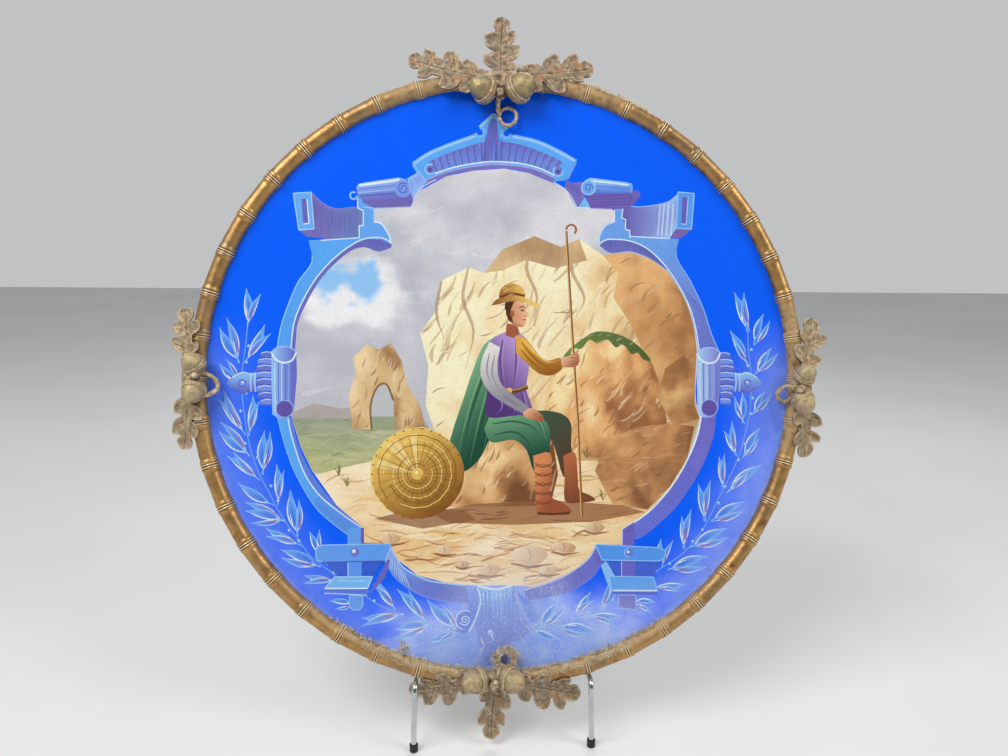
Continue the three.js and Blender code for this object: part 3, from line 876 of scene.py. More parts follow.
RIGHT_MOUNT = {
    "dust": 0.62, "brass_and_glint": 0.48,
    "turn": -math.pi / 2 - 0.031,
    "leaves": [
        leaf((-12, 5), (-54, 12), 6.8,
             [(0.27, 14.1, 6.1), (0.6, 11.1, 5.2)],
             [(0.18, 12.4, 5.1), (0.56, 13.9, 6)]),
        leaf((12, 5), (53, 10), 6.8,
             [(0.25, 14.9, 5.9), (0.59, 12.1, 5.2)],
             [(0.18, 12.1, 5.6), (0.58, 12.3, 6.4)]),
    ],
    "acorns": [
        {"at": (-9.5, 2, 11.6), "radius": 7.6, "pointing": (-0.7, 0.2, 0.65)},
        {"at": (9.5, 1.5, 11.6), "radius": 8, "pointing": (0.7, 0.2, 0.65)},
    ],
    "knots": [
        {"at": (0, 1, 9.6), "size": (15, 7.5, 4.2)},
        {"at": (1, -2, 15.6), "size": (4, 3.6, 3.6)},
    ],
    "stalks": [{"through": [(0, 0, 12), (-1, -6, 11.5), (-1.5, -9, 10)], "wire": 1.7}],
    "rings": [{"at": (4.5, -11, 9), "radius": 6.4, "wire": 1.6, "turn": 0.5}],
}
BOTTOM_MOUNT = {
    "dust": 0.34, "brass_and_glint": 0.5,
    "turn": math.pi - 0.029,
    "leaves": [
        leaf((12, -1), (63.5, 13), 6.2,
             [(0.16, 9.3, 4.4), (0.4, 14.9, 6), (0.69, 12.3, 6.2)],
             [(0.15, 9.7, 5.5), (0.41, 13.5, 5.2), (0.68, 9.7, 4.9)], curl=7),
        leaf((-12, 0), (-65, 13.5), 6.6,
             [(0.1, 9.7, 5.5), (0.36, 13.4, 6), (0.66, 12.6, 6)],
             [(0.18, 13.6, 6), (0.44, 16.7, 6.8), (0.71, 14.1, 6)]),
        leaf((0, -4), (0.5, 47), 6.4,
             [(0.34, 14.3, 6.8), (0.64, 10.7, 5.6)],
             [(0.28, 10.8, 4.9), (0.61, 11.5, 6.5)]),
    ],
    "acorns": [
        {"at": (14, -3, 12.6), "radius": 8.8, "pointing": (0.72, -0.05, 0.68)},
        {"at": (-11, -3.5, 12.6), "radius": 9, "pointing": (-0.72, 0, 0.68)},
    ],
    "knots": [
        {"at": (2, 0, 9.6), "size": (17, 8, 4.5)},
        {"at": (0, -2, 16.6), "size": (4.2, 4, 4)},
    ],
    "stalks": [{"through": [(-1, -3, 12), (-2.5, -8, 9), (-5, -12, 6)], "wire": 1.9}],
    "rings": [{"at": (-7.5, -17, 5.5), "radius": 6.7, "wire": 1.85}],
}
MOUNTS = {
    "top_mount": TOP_MOUNT,
    "left_mount": LEFT_MOUNT,
    "right_mount": RIGHT_MOUNT,
    "bottom_mount": BOTTOM_MOUNT,
}


def leafy_mount(node, spec, bronze, seed):
    casting = Casting()
    for i, form in enumerate(spec["leaves"]):
        casting.add(*oak_leaf(form, seed + 3.7 * i))
    for part in spec["acorns"]:
        acorn(casting, part, spec["brass_and_glint"])
    for i, part in enumerate(spec["knots"]):
        knot(casting, part, seed + i)
    for part in spec["stalks"]:
        stalk(casting, part, seed)
    for part in spec["rings"]:
        stalk_ring(casting, part, seed)
    mesh = casting.mesh()
    mesh.transform(Matrix.Rotation(spec["turn"], 4, "Z") @ Matrix.Translation((0, RING_RADIUS, 0)))
    dust = [clamp(spec["dust"] * (0.7 + 0.9 * vertex.normal.y)) for vertex in mesh.vertices]
    give_values(mesh, "Dust", dust)
    mesh.transform(plate_to_world)
    mesh.set_sharp_from_angle(angle=math.radians(60))
    mount = add_piece(node + "_leaves", mesh, bronze)
    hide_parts(node)
    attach(mount, "root")
    return mount


# The fluff

# Each arc of caught fluff: its middle, its start and end in degrees, its radius, height and width.
FLUFF_ARCS = [(0, 0, -126, -99, 217.4, 1.6, 3.0), (0, 0, -81, -56, 217.4, 1.6, 3.0),
              (0, 0, -118, -99, 220.6, 5.4, 3.0), (0, 0, -81, -62, 220.6, 5.4, 3.0),
              (0, 0, -111.6, -109.6, 212.5, 1.0, 6.0), (0, 0, 61, 73, 228.6, 4.4, 2.6),
              (0, 0, 85.6, 89.6, 230.0, 8.6, 4.0), (0, 0, -99, -81, 218.5, 3.4, 6.0)]


def fluff_patches():
    """Small flat patches that the fibres grow from, laid along the arcs."""
    loop = BOTTOM_MOUNT["rings"][0]
    middle = Matrix.Rotation(BOTTOM_MOUNT["turn"], 2) @ Vector((loop["at"][0], loop["at"][1] + RING_RADIUS))
    arcs = FLUFF_ARCS + [(middle.x, middle.y, 0, 360, loop["radius"] + 0.4, loop["at"][2] + 2.4, 5.5)]
    points, faces = [], []
    for x, y, start, end, radius, height, width in arcs:
        steps = max(3, math.ceil(abs(end - start) / 3))
        for step in range(steps + 1):
            angle = math.radians(blend(start, end, step / steps))
            for reach in (radius - width / 2, radius + width / 2):
                points.append((x + reach * math.cos(angle), y + reach * math.sin(angle), height))
            if step:
                last = len(points) - 1
                faces.append((last - 3, last - 2, last, last - 1))
    return mesh_of(points, faces)


def dust_fluff():
    """Short curled fibres of dust, scattered over the patches by nodes."""
    lint = dusty_lint()
    inputs = {
        "Fibres per square mm": ("NodeSocketFloat", 2.6),
        "Fibre radius": ("NodeSocketFloat", 0.13),
        "Curl radius": ("NodeSocketFloat", 1.3),
        "Seed": ("NodeSocketInt", 7),
    }
    run = NodeRun("fluff_on_the_ring", inputs)
    clumps = run.node("ShaderNodeTexNoise", Scale=0.16)
    share = run.node("ShaderNodeMapRange", From_Min=0.38, From_Max=0.6)
    run.give(share.inputs["Value"], clumps.outputs[0])
    density = run.node("ShaderNodeMath", {"operation": "MULTIPLY"})
    run.give(density.inputs[0], share.outputs["Result"])
    run.give(density.inputs[1], run.asked("Fibres per square mm"))
    spots = run.node("GeometryNodeDistributePointsOnFaces", Mesh=run.asked("Geometry"),
                     Seed=run.asked("Seed"))
    run.give(spots.inputs["Density"], density.outputs[0])
    curl = run.node("GeometryNodeCurveArc", Resolution=5, Radius=run.asked("Curl radius"), Sweep_Angle=2.4)
    thread = run.node("GeometryNodeCurvePrimitiveCircle", Resolution=3, Radius=run.asked("Fibre radius"))
    fibre = run.node("GeometryNodeCurveToMesh", Curve=curl.outputs[0], Profile_Curve=thread.outputs[0],
                     Fill_Caps=True)
    turn = run.node("FunctionNodeRandomValue", {"data_type": "FLOAT_VECTOR"})
    run.give(turn.inputs["Max"], (6.28, 6.28, 6.28))
    size = run.node("FunctionNodeRandomValue", {"data_type": "FLOAT"})
    run.give(size.inputs[2], 0.5)
    run.give(size.inputs[3], 1.6)
    copies = run.node("GeometryNodeInstanceOnPoints", Points=spots.outputs[0], Instance=fibre.outputs[0])
    run.give(copies.inputs["Rotation"], turn.outputs[0])
    run.give(copies.inputs["Scale"], size.outputs[1])
    run.finish(copies.outputs[0], lint)
    holder = add_piece("fluff_patches", fluff_patches(), lint)
    mesh = run.run_on(holder)
    bpy.data.objects.remove(holder)
    mesh.transform(plate_to_world)
    fluff = add_piece("dust_fluff", mesh, lint)
    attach(fluff, "root")
    return fluff


# The easel

RING_OUTSIDE = 230.0
JOINT_STANDS_OUT = 0.7
TOUCH_GAP = 0.3
WIRE_SIDES = 20
BEND_STEPS = 9
SIDE_SPACING = 130.0
FOOT_SPLAY = 1.6
SHELF_FRONT = 10.0
BACK_REST_DEPTH = DISH_DEPTH + BODY_THICKNESS + FOOT_RING_HEIGHT + WIRE_RADIUS + 2 * TOUCH_GAP
BACK_REST_TOP = 122.0
REAR_FOOT_REACH = 150.0
BEND_RADIUS = 6.0
STAND_HEIGHT = 12.0
WIRE_END = 1.9
CROSSBAR_OVERHANG = 5.0
UPPER_CROSSBAR = 70.0
LOWER_CROSSBAR = 64.0
TIP_RADIUS = 3.1
TIP_HEIGHT = 6.0
TIP_FLOOR = 1.6


def on_plate(x, up, out):
    """A place given up the plate and out of its face, measured over the floor."""
    return Vector((
        x,
        up * math.sin(LEAN) - out * math.cos(LEAN),
        CENTRE_HEIGHT + up * math.cos(LEAN) + out * math.sin(LEAN),
    ))


def side_wire_corners(side):
    x = side * SIDE_SPACING / 2
    reach = RING_OUTSIDE + JOINT_STANDS_OUT + WIRE_RADIUS + TOUCH_GAP
    shelf = -math.sqrt(reach ** 2 - x ** 2)
    knee = on_plate(x, shelf, SHELF_FRONT)
    foot = x + side * FOOT_SPLAY
    return [
        Vector((foot, knee.y, WIRE_END)), Vector((foot, knee.y, STAND_HEIGHT)), knee,
        on_plate(x, shelf, -BACK_REST_DEPTH), on_plate(x, BACK_REST_TOP, -BACK_REST_DEPTH),
        Vector((foot, REAR_FOOT_REACH, STAND_HEIGHT)), Vector((foot, REAR_FOOT_REACH, WIRE_END)),
    ]


def wire_nodes(chrome):
    """Nodes that round off a path's corners and sweep the wire's section along it."""
    inputs = {
        "Wire radius": ("NodeSocketFloat", WIRE_RADIUS),
        "Bend radius": ("NodeSocketFloat", BEND_RADIUS),
        "Sides": ("NodeSocketInt", WIRE_SIDES),
    }
    nodes = NodeRun("wire_bent_along_its_path", inputs)
    bends = nodes.node("GeometryNodeFilletCurve", {"mode": "POLY"}, Curve=nodes.asked("Geometry"),
                       Count=BEND_STEPS)
    nodes.give(bends.inputs["Radius"], nodes.asked("Bend radius"))
    nodes.give(bends.inputs["Limit Radius"], True)
    round_wire = nodes.node("GeometryNodeCurvePrimitiveCircle", Resolution=nodes.asked("Sides"),
                            Radius=nodes.asked("Wire radius"))
    tube = nodes.node("GeometryNodeCurveToMesh", Curve=bends.outputs[0])
    nodes.give(tube.inputs["Profile Curve"], round_wire.outputs[0])
    nodes.give(tube.inputs["Fill Caps"], True)
    nodes.finish(tube.outputs[0], chrome)
    return nodes


def bent_wire(name, node, corners, chrome):
    curve = bpy.data.curves.new(name, "CURVE")
    curve.dimensions = "3D"
    run = curve.splines.new("POLY")
    run.points.add(len(corners) - 1)
    for point, corner in zip(run.points, corners):
        point.co = (*corner, 1.0)
    holder = bpy.data.objects.new(name, curve)
    bpy.context.scene.collection.objects.link(holder)
    mesh = wire_nodes(chrome).run_on(holder)
    bpy.data.objects.remove(holder)
    mesh.polygons.foreach_set("use_smooth", [True] * len(mesh.polygons))
    mesh.transform(floor_to_world)
    mesh.set_sharp_from_angle(angle=math.radians(40))
    wire = add_piece(name, mesh, chrome)
    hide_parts(node)
    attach(wire, "root")
    return wire


def rubber_tip(name, node, foot, rubber):
    bore = WIRE_RADIUS + 0.12
    profile = [
        (0, 0), (TIP_RADIUS - 0.7, 0), (TIP_RADIUS - 0.25, 0.12), (TIP_RADIUS - 0.03, 0.5), (TIP_RADIUS, 1.2),
        (TIP_RADIUS, 4.6), (TIP_RADIUS + 0.12, 5.0), (TIP_RADIUS + 0.1, 5.7), (TIP_RADIUS - 0.2, TIP_HEIGHT),
        (bore + 0.2, TIP_HEIGHT), (bore, TIP_HEIGHT - 0.3), (bore, TIP_FLOOR), (0, TIP_FLOOR),
    ]
    place = Matrix.Translation((foot.x, foot.y, 0))
    points, faces, _ = turned_form([(radius, height, 0.5) for radius, height in profile], 32, place)
    mesh = mesh_of(points, [tuple(reversed(face)) for face in faces])
    mesh.transform(floor_to_world)
    mesh.set_sharp_from_angle(angle=math.radians(50))
    tip = add_piece(name, mesh, rubber)
    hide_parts(node)
    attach(tip, "root")
    return tip


def easel():
    chrome = chromed_wire()
    rubber = dark_rubber()
    for label, side in (("left", -1), ("right", 1)):
        corners = side_wire_corners(side)
        bent_wire("chromed_side_wire_" + label, "easel_side_wire_" + label, corners, chrome)
        for place, foot in (("front", corners[0]), ("rear", corners[-1])):
            rubber_tip(f"rubber_foot_{place}_{label}", f"rubber_tip_{place}_{label}", foot, rubber)
    ends = SIDE_SPACING / 2 + CROSSBAR_OVERHANG
    behind = -BACK_REST_DEPTH - 2 * WIRE_RADIUS - TOUCH_GAP
    upper = [on_plate(x, UPPER_CROSSBAR, behind) for x in (-ends, ends)]
    bent_wire("chromed_crossbar_upper", "easel_crossbar_upper", upper, chrome)
    leg_top = on_plate(0, BACK_REST_TOP, -BACK_REST_DEPTH)
    share = (leg_top.z - LOWER_CROSSBAR) / leg_top.z
    depth = blend(leg_top.y, REAR_FOOT_REACH, share) - 2 * WIRE_RADIUS - 2 * TOUCH_GAP
    lower = [Vector((x, depth, LOWER_CROSSBAR)) for x in (-ends, ends)]
    bent_wire("chromed_crossbar_lower", "easel_crossbar_lower", lower, chrome)


# The painting on the charger

COBALT = (0, 96, 255)
STRAP = (94, 174, 252)
STRAP_LIGHT = (146, 208, 254)
STRAP_EDGE = (212, 238, 255)
STRAP_SHADE = (112, 112, 196)
STRAP_DEEP = (84, 84, 160)
STRAP_WHITE = (232, 243, 254)

painted = []


def mixed(first, second, share):
    return tuple(blend(a, b, share) for a, b in zip(first, second))


def area(outline, colour, strength=1.0):
    """One flat shape of colour, always kept anticlockwise."""
    turning = sum(a[0] * b[1] - b[0] * a[1] for a, b in zip(outline, outline[1:] + outline[:1]))
    painted.append((outline if turning > 0 else outline[::-1], colour, strength))


def curved(points, per_span):
    return [tuple(spot) for spot in smooth_path([Vector((x, y)) for x, y in points], per_span)]


def stroke(points, width, colour, strength=1.0, pointed=False):
    """A brush line along the points, with its ends drawn out where it is pointed."""
    left, right = [], []
    for i, (x, y) in enumerate(points):
        ahead = points[min(i + 1, len(points) - 1)]
        behind = points[max(i - 1, 0)]
        dx, dy = ahead[0] - behind[0], ahead[1] - behind[1]
        size = math.hypot(dx, dy) or 1.0
        share = i / (len(points) - 1)
        half = width / 2
        if pointed:
            half *= max(0.08, math.sin(math.pi * min(0.97, share + 0.12)) ** 0.7)
        left.append((x - dy / size * half, y + dx / size * half))
        right.append((x + dy / size * half, y - dx / size * half))
    painted.append((right + left[::-1], colour, strength))


def swept(points, per_span, width, colour, strength=1.0, pointed=False):
    """A brush line that bends smoothly through its points."""
    stroke(curved(points, per_span), width, colour, strength, pointed)


def dash(start, end, width, colour, strength=1.0, pointed=False):
    """One straight brush line."""
    stroke([start, mixed(start, end, 0.5), end], width, colour, strength, pointed)


def lines(points, width, colour):
    """Straight brush lines from point to point, so a sharp corner stays sharp."""
    for start, end in zip(points, points[1:]):
        dash(start, end, width, colour)


def folds(bends, width, dark, strength, light=None, beside=0.0, light_width=0.0, light_strength=0.7):
    """Creases of cloth or stone, each with a lit line beside it where a light colour is given."""
    for bend in bends:
        swept(bend, 4, width, dark, strength, pointed=True)
        if light:
            swept([(x + beside, y) for x, y in bend], 4, light_width, light, light_strength, pointed=True)


def edged(outline, colour, edge=STRAP_EDGE, width=0.8):
    area(outline, colour)
    lines(outline + outline[:1], width, edge)


def on_circle(radius, i, count, squash=1.0):
    """The place of one of the points that part a circle evenly."""
    angle = 2 * math.pi * i / count
    return radius * math.cos(angle), squash * radius * math.sin(angle)


def disc(x, y, radius, colour, strength=1.0, count=12, squash=1.0):
    spots = [on_circle(radius, i, count, squash) for i in range(count)]
    area([(x + right, y + up) for right, up in spots], colour, strength)


def ringlet(x, y, radius, width, colour, start=0.0, sweep=360.0, inward=0.0):
    """An arc or a spiral drawn round a middle point, in degrees."""
    count = max(6, int(sweep / 22))
    points = []
    for i in range(count + 1):
        angle = math.radians(start + sweep * i / count)
        reach = radius * (1 - inward * i / count)
        points.append((x + reach * math.cos(angle), y + reach * math.sin(angle)))
    stroke(points, width, colour)


def toward(first, second, start, end):
    """A colour that passes from the first to the second between two points."""
    span = (end[0] - start[0], end[1] - start[1])
    size = span[0] ** 2 + span[1] ** 2

    def colour(x, y):
        share = ((x - start[0]) * span[0] + (y - start[1]) * span[1]) / size
        return mixed(first, second, clamp(share))
    return colour


def at_share(curve, share):
    lengths = [0.0]
    for a, b in zip(curve, curve[1:]):
        lengths.append(lengths[-1] + math.dist(a, b))
    goal = share * lengths[-1]
    for i in range(1, len(curve)):
        if lengths[i] >= goal or i == len(curve) - 1:
            part = clamp((goal - lengths[i - 1]) / max(1e-6, lengths[i] - lengths[i - 1]))
            return mixed(curve[i - 1], curve[i], part)


def between(first, second, count, width, colour, strength=1.0, seed=1, wave=0.0):
    """Short hatching lines from one curve to another."""
    dice = random.Random(seed)
    for i in range(count):
        share = (i + 0.5 + dice.uniform(-0.15, 0.15)) / count
        start, end = at_share(first, share), at_share(second, share)
        near, far = dice.uniform(0.03, 0.12), dice.uniform(0.82, 0.97)
        points = []
        for step in range(5):
            x, y = mixed(start, end, blend(near, far, step / 4))
            points.append((x + wave * math.sin(step * 1.6), y))
        stroke(points, width, colour, strength, pointed=True)


def inside(x, y, outline):
    within = False
    for (ax, ay), (bx, by) in zip(outline, outline[1:] + outline[:1]):
        if (ay > y) != (by > y) and x < ax + (y - ay) / (by - ay) * (bx - ax):
            within = not within
    return within


STROKE_BEND = 0.15
STROKE_SPREAD = 18


def brushwork(outline, count, slant, length, width, colours, seed, strength=0.5):
    """Loose strokes laid in one direction over a shape, none of them past its edge."""
    dice = random.Random(seed)
    xs, ys = [x for x, _ in outline], [y for _, y in outline]
    for _ in range(count):
        x, y = dice.uniform(min(xs), max(xs)), dice.uniform(min(ys), max(ys))
        angle = math.radians(slant + dice.uniform(-STROKE_SPREAD, STROKE_SPREAD))
        reach = length * dice.uniform(0.5, 1.3)
        sag = dice.uniform(-STROKE_BEND, STROKE_BEND) * reach
        points = []
        for step in range(5):
            far = (step / 4 - 0.5) * reach
            lift = sag * (1 - (2 * step / 4 - 1) ** 2)
            points.append((
                x + far * math.cos(angle) - lift * math.sin(angle),
                y + far * math.sin(angle) + lift * math.cos(angle),
            ))
        if all(inside(*spot, outline) for spot in points):
            stroke(points, width * dice.uniform(0.5, 1.2), dice.choice(colours), strength, pointed=True)


# The laurel sprays, drawn on the blue ground

# Each leaf: the place on the stem, then the leaf's point.
LEFT_LEAVES = [((-188, 41), (-189, 66)), ((-188, 40), (-179, 62)), ((-195, 14), (-208, 37)),
               ((-195, 14), (-203, 44)), ((-189, 14), (-176, 39)), ((-189, 14), (-172, 33)),
               ((-196, -2), (-208, 11)), ((-195, -1), (-203, 14)), ((-191, -39), (-208, -16)),
               ((-191, -39), (-205, -9)), ((-188, -55), (-208, -39)), ((-188, -55), (-207, -32)),
               ((-181, -73), (-202, -57)), ((-181, -73), (-198, -54)), ((-171, -92), (-194, -77)),
               ((-163, -104), (-189, -91)), ((-163, -104), (-189, -97)), ((-163, -104), (-185, -106)),
               ((-151, -122), (-174, -110)), ((-151, -122), (-174, -116)), ((-137, -138), (-163, -126)),
               ((-137, -138), (-163, -132)), ((-125, -149), (-146, -145)), ((-125, -149), (-147, -151)),
               ((-187, -40), (-184, -13)), ((-187, -40), (-180, -17)), ((-177, -68), (-176, -39)),
               ((-177, -68), (-172, -40)), ((-166, -91), (-167, -64)), ((-166, -91), (-162, -68)),
               ((-152, -114), (-157, -83)), ((-152, -114), (-151, -90)), ((-138, -128), (-143, -113)),
               ((-135, -128), (-136, -112)), ((-81, -170), (-93, -150)), ((-81, -170), (-96, -153)),
               ((-58, -180), (-78, -157)), ((-58, -180), (-70, -158)), ((-36, -186), (-56, -165)),
               ((-36, -186), (-45, -169)), ((-112, -166), (-128, -164)), ((-112, -168), (-124, -170)),
               ((-76, -175), (-104, -177)), ((-76, -175), (-104, -183)), ((-55, -183), (-80, -186)),
               ((-55, -183), (-80, -193)), ((-35, -188), (-56, -195)), ((-35, -189), (-49, -197))]
RIGHT_LEAVES = [((186, 38), (177, 65)), ((188, 38), (184, 65)), ((192, 28), (199, 49)),
                ((193, 27), (204, 44)), ((186, 12), (174, 36)), ((187, 12), (177, 30)),
                ((194, 5), (205, 23)), ((194, 5), (210, 19)), ((183, -32), (183, -11)),
                ((184, -33), (177, -14)), ((192, -25), (200, -10)), ((192, -26), (205, -12)),
                ((177, -57), (169, -40)), ((178, -57), (175, -33)), ((184, -58), (196, -38)),
                ((184, -59), (195, -46)), ((167, -81), (165, -60)), ((168, -82), (169, -58)),
                ((172, -85), (197, -66)), ((173, -85), (188, -69)), ((153, -106), (149, -81)),
                ((154, -106), (158, -78)), ((160, -107), (183, -94)), ((161, -108), (184, -100)),
                ((137, -127), (136, -105)), ((138, -127), (143, -100)), ((144, -127), (170, -114)),
                ((145, -127), (171, -121)), ((115, -141), (120, -122)), ((121, -141), (129, -123)),
                ((127, -144), (155, -135)), ((128, -144), (154, -143)), ((116, -157), (138, -156)),
                ((117, -158), (133, -161)), ((76, -173), (89, -155)), ((74, -173), (81, -152)),
                ((54, -176), (66, -161)), ((55, -176), (68, -167)), ((28, -186), (41, -168)),
                ((29, -186), (47, -171)), ((66, -178), (89, -179)), ((67, -179), (84, -186)),
                ((42, -186), (70, -191)), ((43, -187), (62, -194)), ((23, -188), (42, -196)),
                ((100, -170), (112, -177)), ((100, -168), (115, -169))]
LEFT_STEM = [(-33.5, -188.5), (-55.5, -183), (-76, -175), (-94, -166.5), (-117, -150), (-139.5, -133.5),
             (-148.5, -122.5), (-159, -107.5), (-166.5, -95.5), (-172.5, -83.5), (-179, -71.5), (-184, -58),
             (-188, -42.5), (-190.5, -25), (-192, -11), (-192, 6), (-189.5, 25), (-188, 42)]
RIGHT_STEM = [(22.5, -188), (45, -182.5), (65.5, -176), (79.5, -171), (100, -162.5), (114, -147.5),
              (137, -132), (152.5, -113.5), (165, -89.5), (179, -61.5), (186, -37.5), (189, -20),
              (189.5, 5), (187.5, 21.5), (187, 40)]
LEAF_FILL = (108, 174, 252)
LEAF_DEEP = (52, 110, 236)
LEAF_LINE = (150, 206, 253)
LEAF_WHITE = (232, 244, 255)
LEAF_PINK = (148, 122, 200)


def laurel_leaf(base, tip, number):
    """An almond leaf with pale edges, a dark mark down its middle and a rosy shadow at its foot."""
    along = (tip[0] - base[0], tip[1] - base[1])
    length = math.hypot(*along)
    side = (-along[1] / length, along[0] / length)
    second = number % 2 == 1
    half = length * (0.085 if second else 0.11)
    bow = (0.05 if second else -0.04) * length * (1 if number % 4 < 2 else -1)

    def place(share, across):
        lift = bow * math.sin(math.pi * share)
        return (
            base[0] + along[0] * share + side[0] * (across + lift),
            base[1] + along[1] * share + side[1] * (across + lift),
        )

    shares = [0.08, 0.2, 0.34, 0.48, 0.62, 0.76, 0.88, 1.04]
    widths = [0.05, 0.5, 0.88, 1.0, 0.92, 0.66, 0.34, 0.0]
    left = [place(share, half * width) for share, width in zip(shares, widths)]
    right = [place(share, -half * width) for share, width in zip(shares, widths)]
    body = toward(LEAF_PINK if second else LEAF_DEEP, LEAF_FILL, base, mixed(base, tip, 0.8))
    area(right + left[-2::-1], body, 0.95)
    stroke([place(-0.08, 0), place(0.05, 0), place(0.2, 0)], 0.6, LEAF_LINE, 0.95)
    stroke(left, 0.8 if second else 1.0, LEAF_LINE if second else LEAF_WHITE, 0.95, pointed=True)
    stroke(right, 0.7, LEAF_WHITE if second else LEAF_LINE, 0.9, pointed=True)
    middle = [place(share, 0) for share in (0.24, 0.4, 0.58, 0.74)]
    stroke(middle, 0.8, (40, 92, 226), 0.7, pointed=True)
    if number % 3 == 0:
        glint = [place(share, half * 0.45) for share in (0.2, 0.34, 0.48)]
        stroke(glint, 0.8, (250, 252, 255), 0.95, pointed=True)
    if second:
        root = [place(share, -half * 0.5) for share in (0.1, 0.3, 0.5)]
        stroke(root, 0.9, (166, 96, 150), 0.75, pointed=True)


def laurel_spray(stem, leaves, seed):
    swept(stem, 4, 0.75, (128, 176, 244), 0.9)
    for number, (base, tip) in enumerate(leaves):
        laurel_leaf(base, tip, number)
    dice = random.Random(seed)
    for i in range(26):
        x, y = at_share(stem, (i + 0.4) / 26)
        if i % 3 != 1:
            x += dice.choice((-1, 1)) * dice.uniform(1.6, 3.2)
            y += dice.uniform(0.4, 2.6)
            disc(x, y, 1.3, (120, 176, 250), 0.95, count=8)
            disc(x - 0.3, y + 0.3, 0.6, (240, 248, 255), 0.95, count=6)


# The strapwork frame round the picture

def upper_left_frame():
    outer = curved([(-144, 102.5), (-141.5, 86.5), (-151.5, 72), (-159.5, 53), (-164.5, 37), (-167.5, 18)], 3)
    inner = curved([(-83, 101), (-89.5, 105), (-102.5, 104.5), (-115, 98), (-128, 87), (-139, 74),
                    (-148.5, 57.5), (-155, 40), (-157.5, 14.5)], 3)
    area([(-107, 105), (-98, 104.8)] + inner[6:] + outer[::-1],
         toward(STRAP, (88, 164, 248), (-110, 100), (-160, 20)))
    shade = curved([(-83.5, 98), (-93, 95), (-103, 98), (-113.5, 95), (-126, 84.5), (-137, 71.5),
                    (-146, 55.5), (-152.5, 39), (-154.5, 14.5)], 3)
    area(inner + shade[::-1], STRAP_SHADE)
    between(inner[:13], shade[:13], 24, 0.6, STRAP_DEEP, 0.6, 3)
    stroke(inner, 0.95, STRAP_EDGE)
    stroke(outer[2:], 0.8, STRAP_LIGHT)
    # The curved band that joins the pierced end to the frame
    top = curved([(-142, 138), (-136, 132), (-130, 128), (-123, 126), (-115, 127), (-107.5, 127.5)], 3)
    low = [(-140, 110.5), (-133, 103.5), (-120, 103.8), (-107, 105)]
    area(top + [(-104, 125), (-104, 114), (-107, 114)] + low[::-1],
         toward((124, 116, 190), (112, 134, 196), (-140, 120), (-108, 120)))
    between(top, low, 30, 0.6, (92, 88, 166), 0.6, 5, wave=0.35)
    stroke(top, 0.7, (138, 134, 214))
    lines([(-135, 102.6), (-107, 105)], 0.8, STRAP_EDGE)
    area([(-151, 110), (-140, 111), (-133, 104), (-145, 105)], (118, 112, 188))
    edged([(-155, 137), (-142, 138), (-140, 111), (-151, 110)], (108, 176, 246), (158, 212, 252))
    area([(-149, 133), (-145, 133), (-143.6, 115), (-147.8, 114.5)], (104, 106, 196))
    lines([(-145, 133), (-143.6, 115), (-147.8, 114.5)], 0.8, STRAP_WHITE)
    # The plate behind the scroll, with its stepped edge
    lobe = curved([(-96, 117), (-91, 116), (-87.5, 111.5), (-84.5, 106), (-84, 101)], 3)
    area([(-108, 136), (-98, 129), (-96, 127)] + lobe
         + [(-91, 104), (-100, 104.3), (-107, 104.5), (-107, 114), (-104, 114), (-104, 125), (-108, 127)],
         (104, 170, 246))
    lines([(-108, 134), (-108, 127), (-104, 125), (-104, 114), (-107, 114), (-107, 105)], 0.85, STRAP_EDGE)
    lines([(-98, 128.5), (-96, 126.5), (-96, 117)], 0.8, (168, 214, 252))
    stroke(lobe, 1.2, STRAP_EDGE)
    stroke(inner[:9], 0.9, STRAP_EDGE)


def left_scroll():
    area([(-108, 140), (-104, 131), (-96, 127), (-69, 128.5), (-67.5, 134), (-69, 142), (-74, 136)],
         (116, 108, 184))
    body = [(-109, 142), (-107.5, 144.6), (-104, 145.6), (-78, 150), (-72, 148.6), (-70, 144), (-70.5, 138),
            (-75, 135), (-104, 132.5), (-108, 136)]
    area(body, toward((156, 196, 250), (104, 112, 206), (-92, 147), (-90, 134)))
    stroke([(-107, 143.6), (-92, 145.9), (-77, 148.3)], 1.7, STRAP_WHITE, 0.95)
    stroke([(-107.5, 140.8), (-92, 142.8), (-79, 144.6)], 0.7, (92, 116, 220), 0.8)
    stroke([(-107.5, 138.2), (-92, 140), (-80, 141.4)], 0.9, (170, 204, 252), 0.8)
    stroke([(-107, 135.6), (-92, 137.2), (-79, 138.4)], 1.1, (92, 92, 186), 0.75)
    stroke([(-104, 133.4), (-90, 134.6), (-77, 135.6)], 0.9, (132, 120, 190), 0.8)
    disc(-74.6, 142, 6.6, (128, 158, 236), count=16)
    ringlet(-74.6, 142, 6.0, 0.9, STRAP_EDGE, 60, 400, 0.15)
    ringlet(-74.4, 142, 4.3, 0.75, (84, 96, 196), 60, 520, 0.7)
    ringlet(-111, 136, 2.6, 1.3, (150, 200, 250), 60, 300)
    lines([(-104, 127.8), (-96, 126.8), (-69, 128.4)], 0.8, (168, 196, 246))
    area([(-71.5, 149.5), (-62, 155), (-57, 147.5), (-63, 140.5), (-67, 133), (-69, 140)], (150, 190, 248))
    between([(-70, 148.5), (-62, 154.5)], [(-67.5, 134.5), (-58.5, 146)], 9, 0.55, (112, 134, 226), 0.8, 7)
    swept([(-67, 133), (-63, 140.5), (-57, 145.5), (-50, 149)], 3, 0.8, (206, 214, 246))


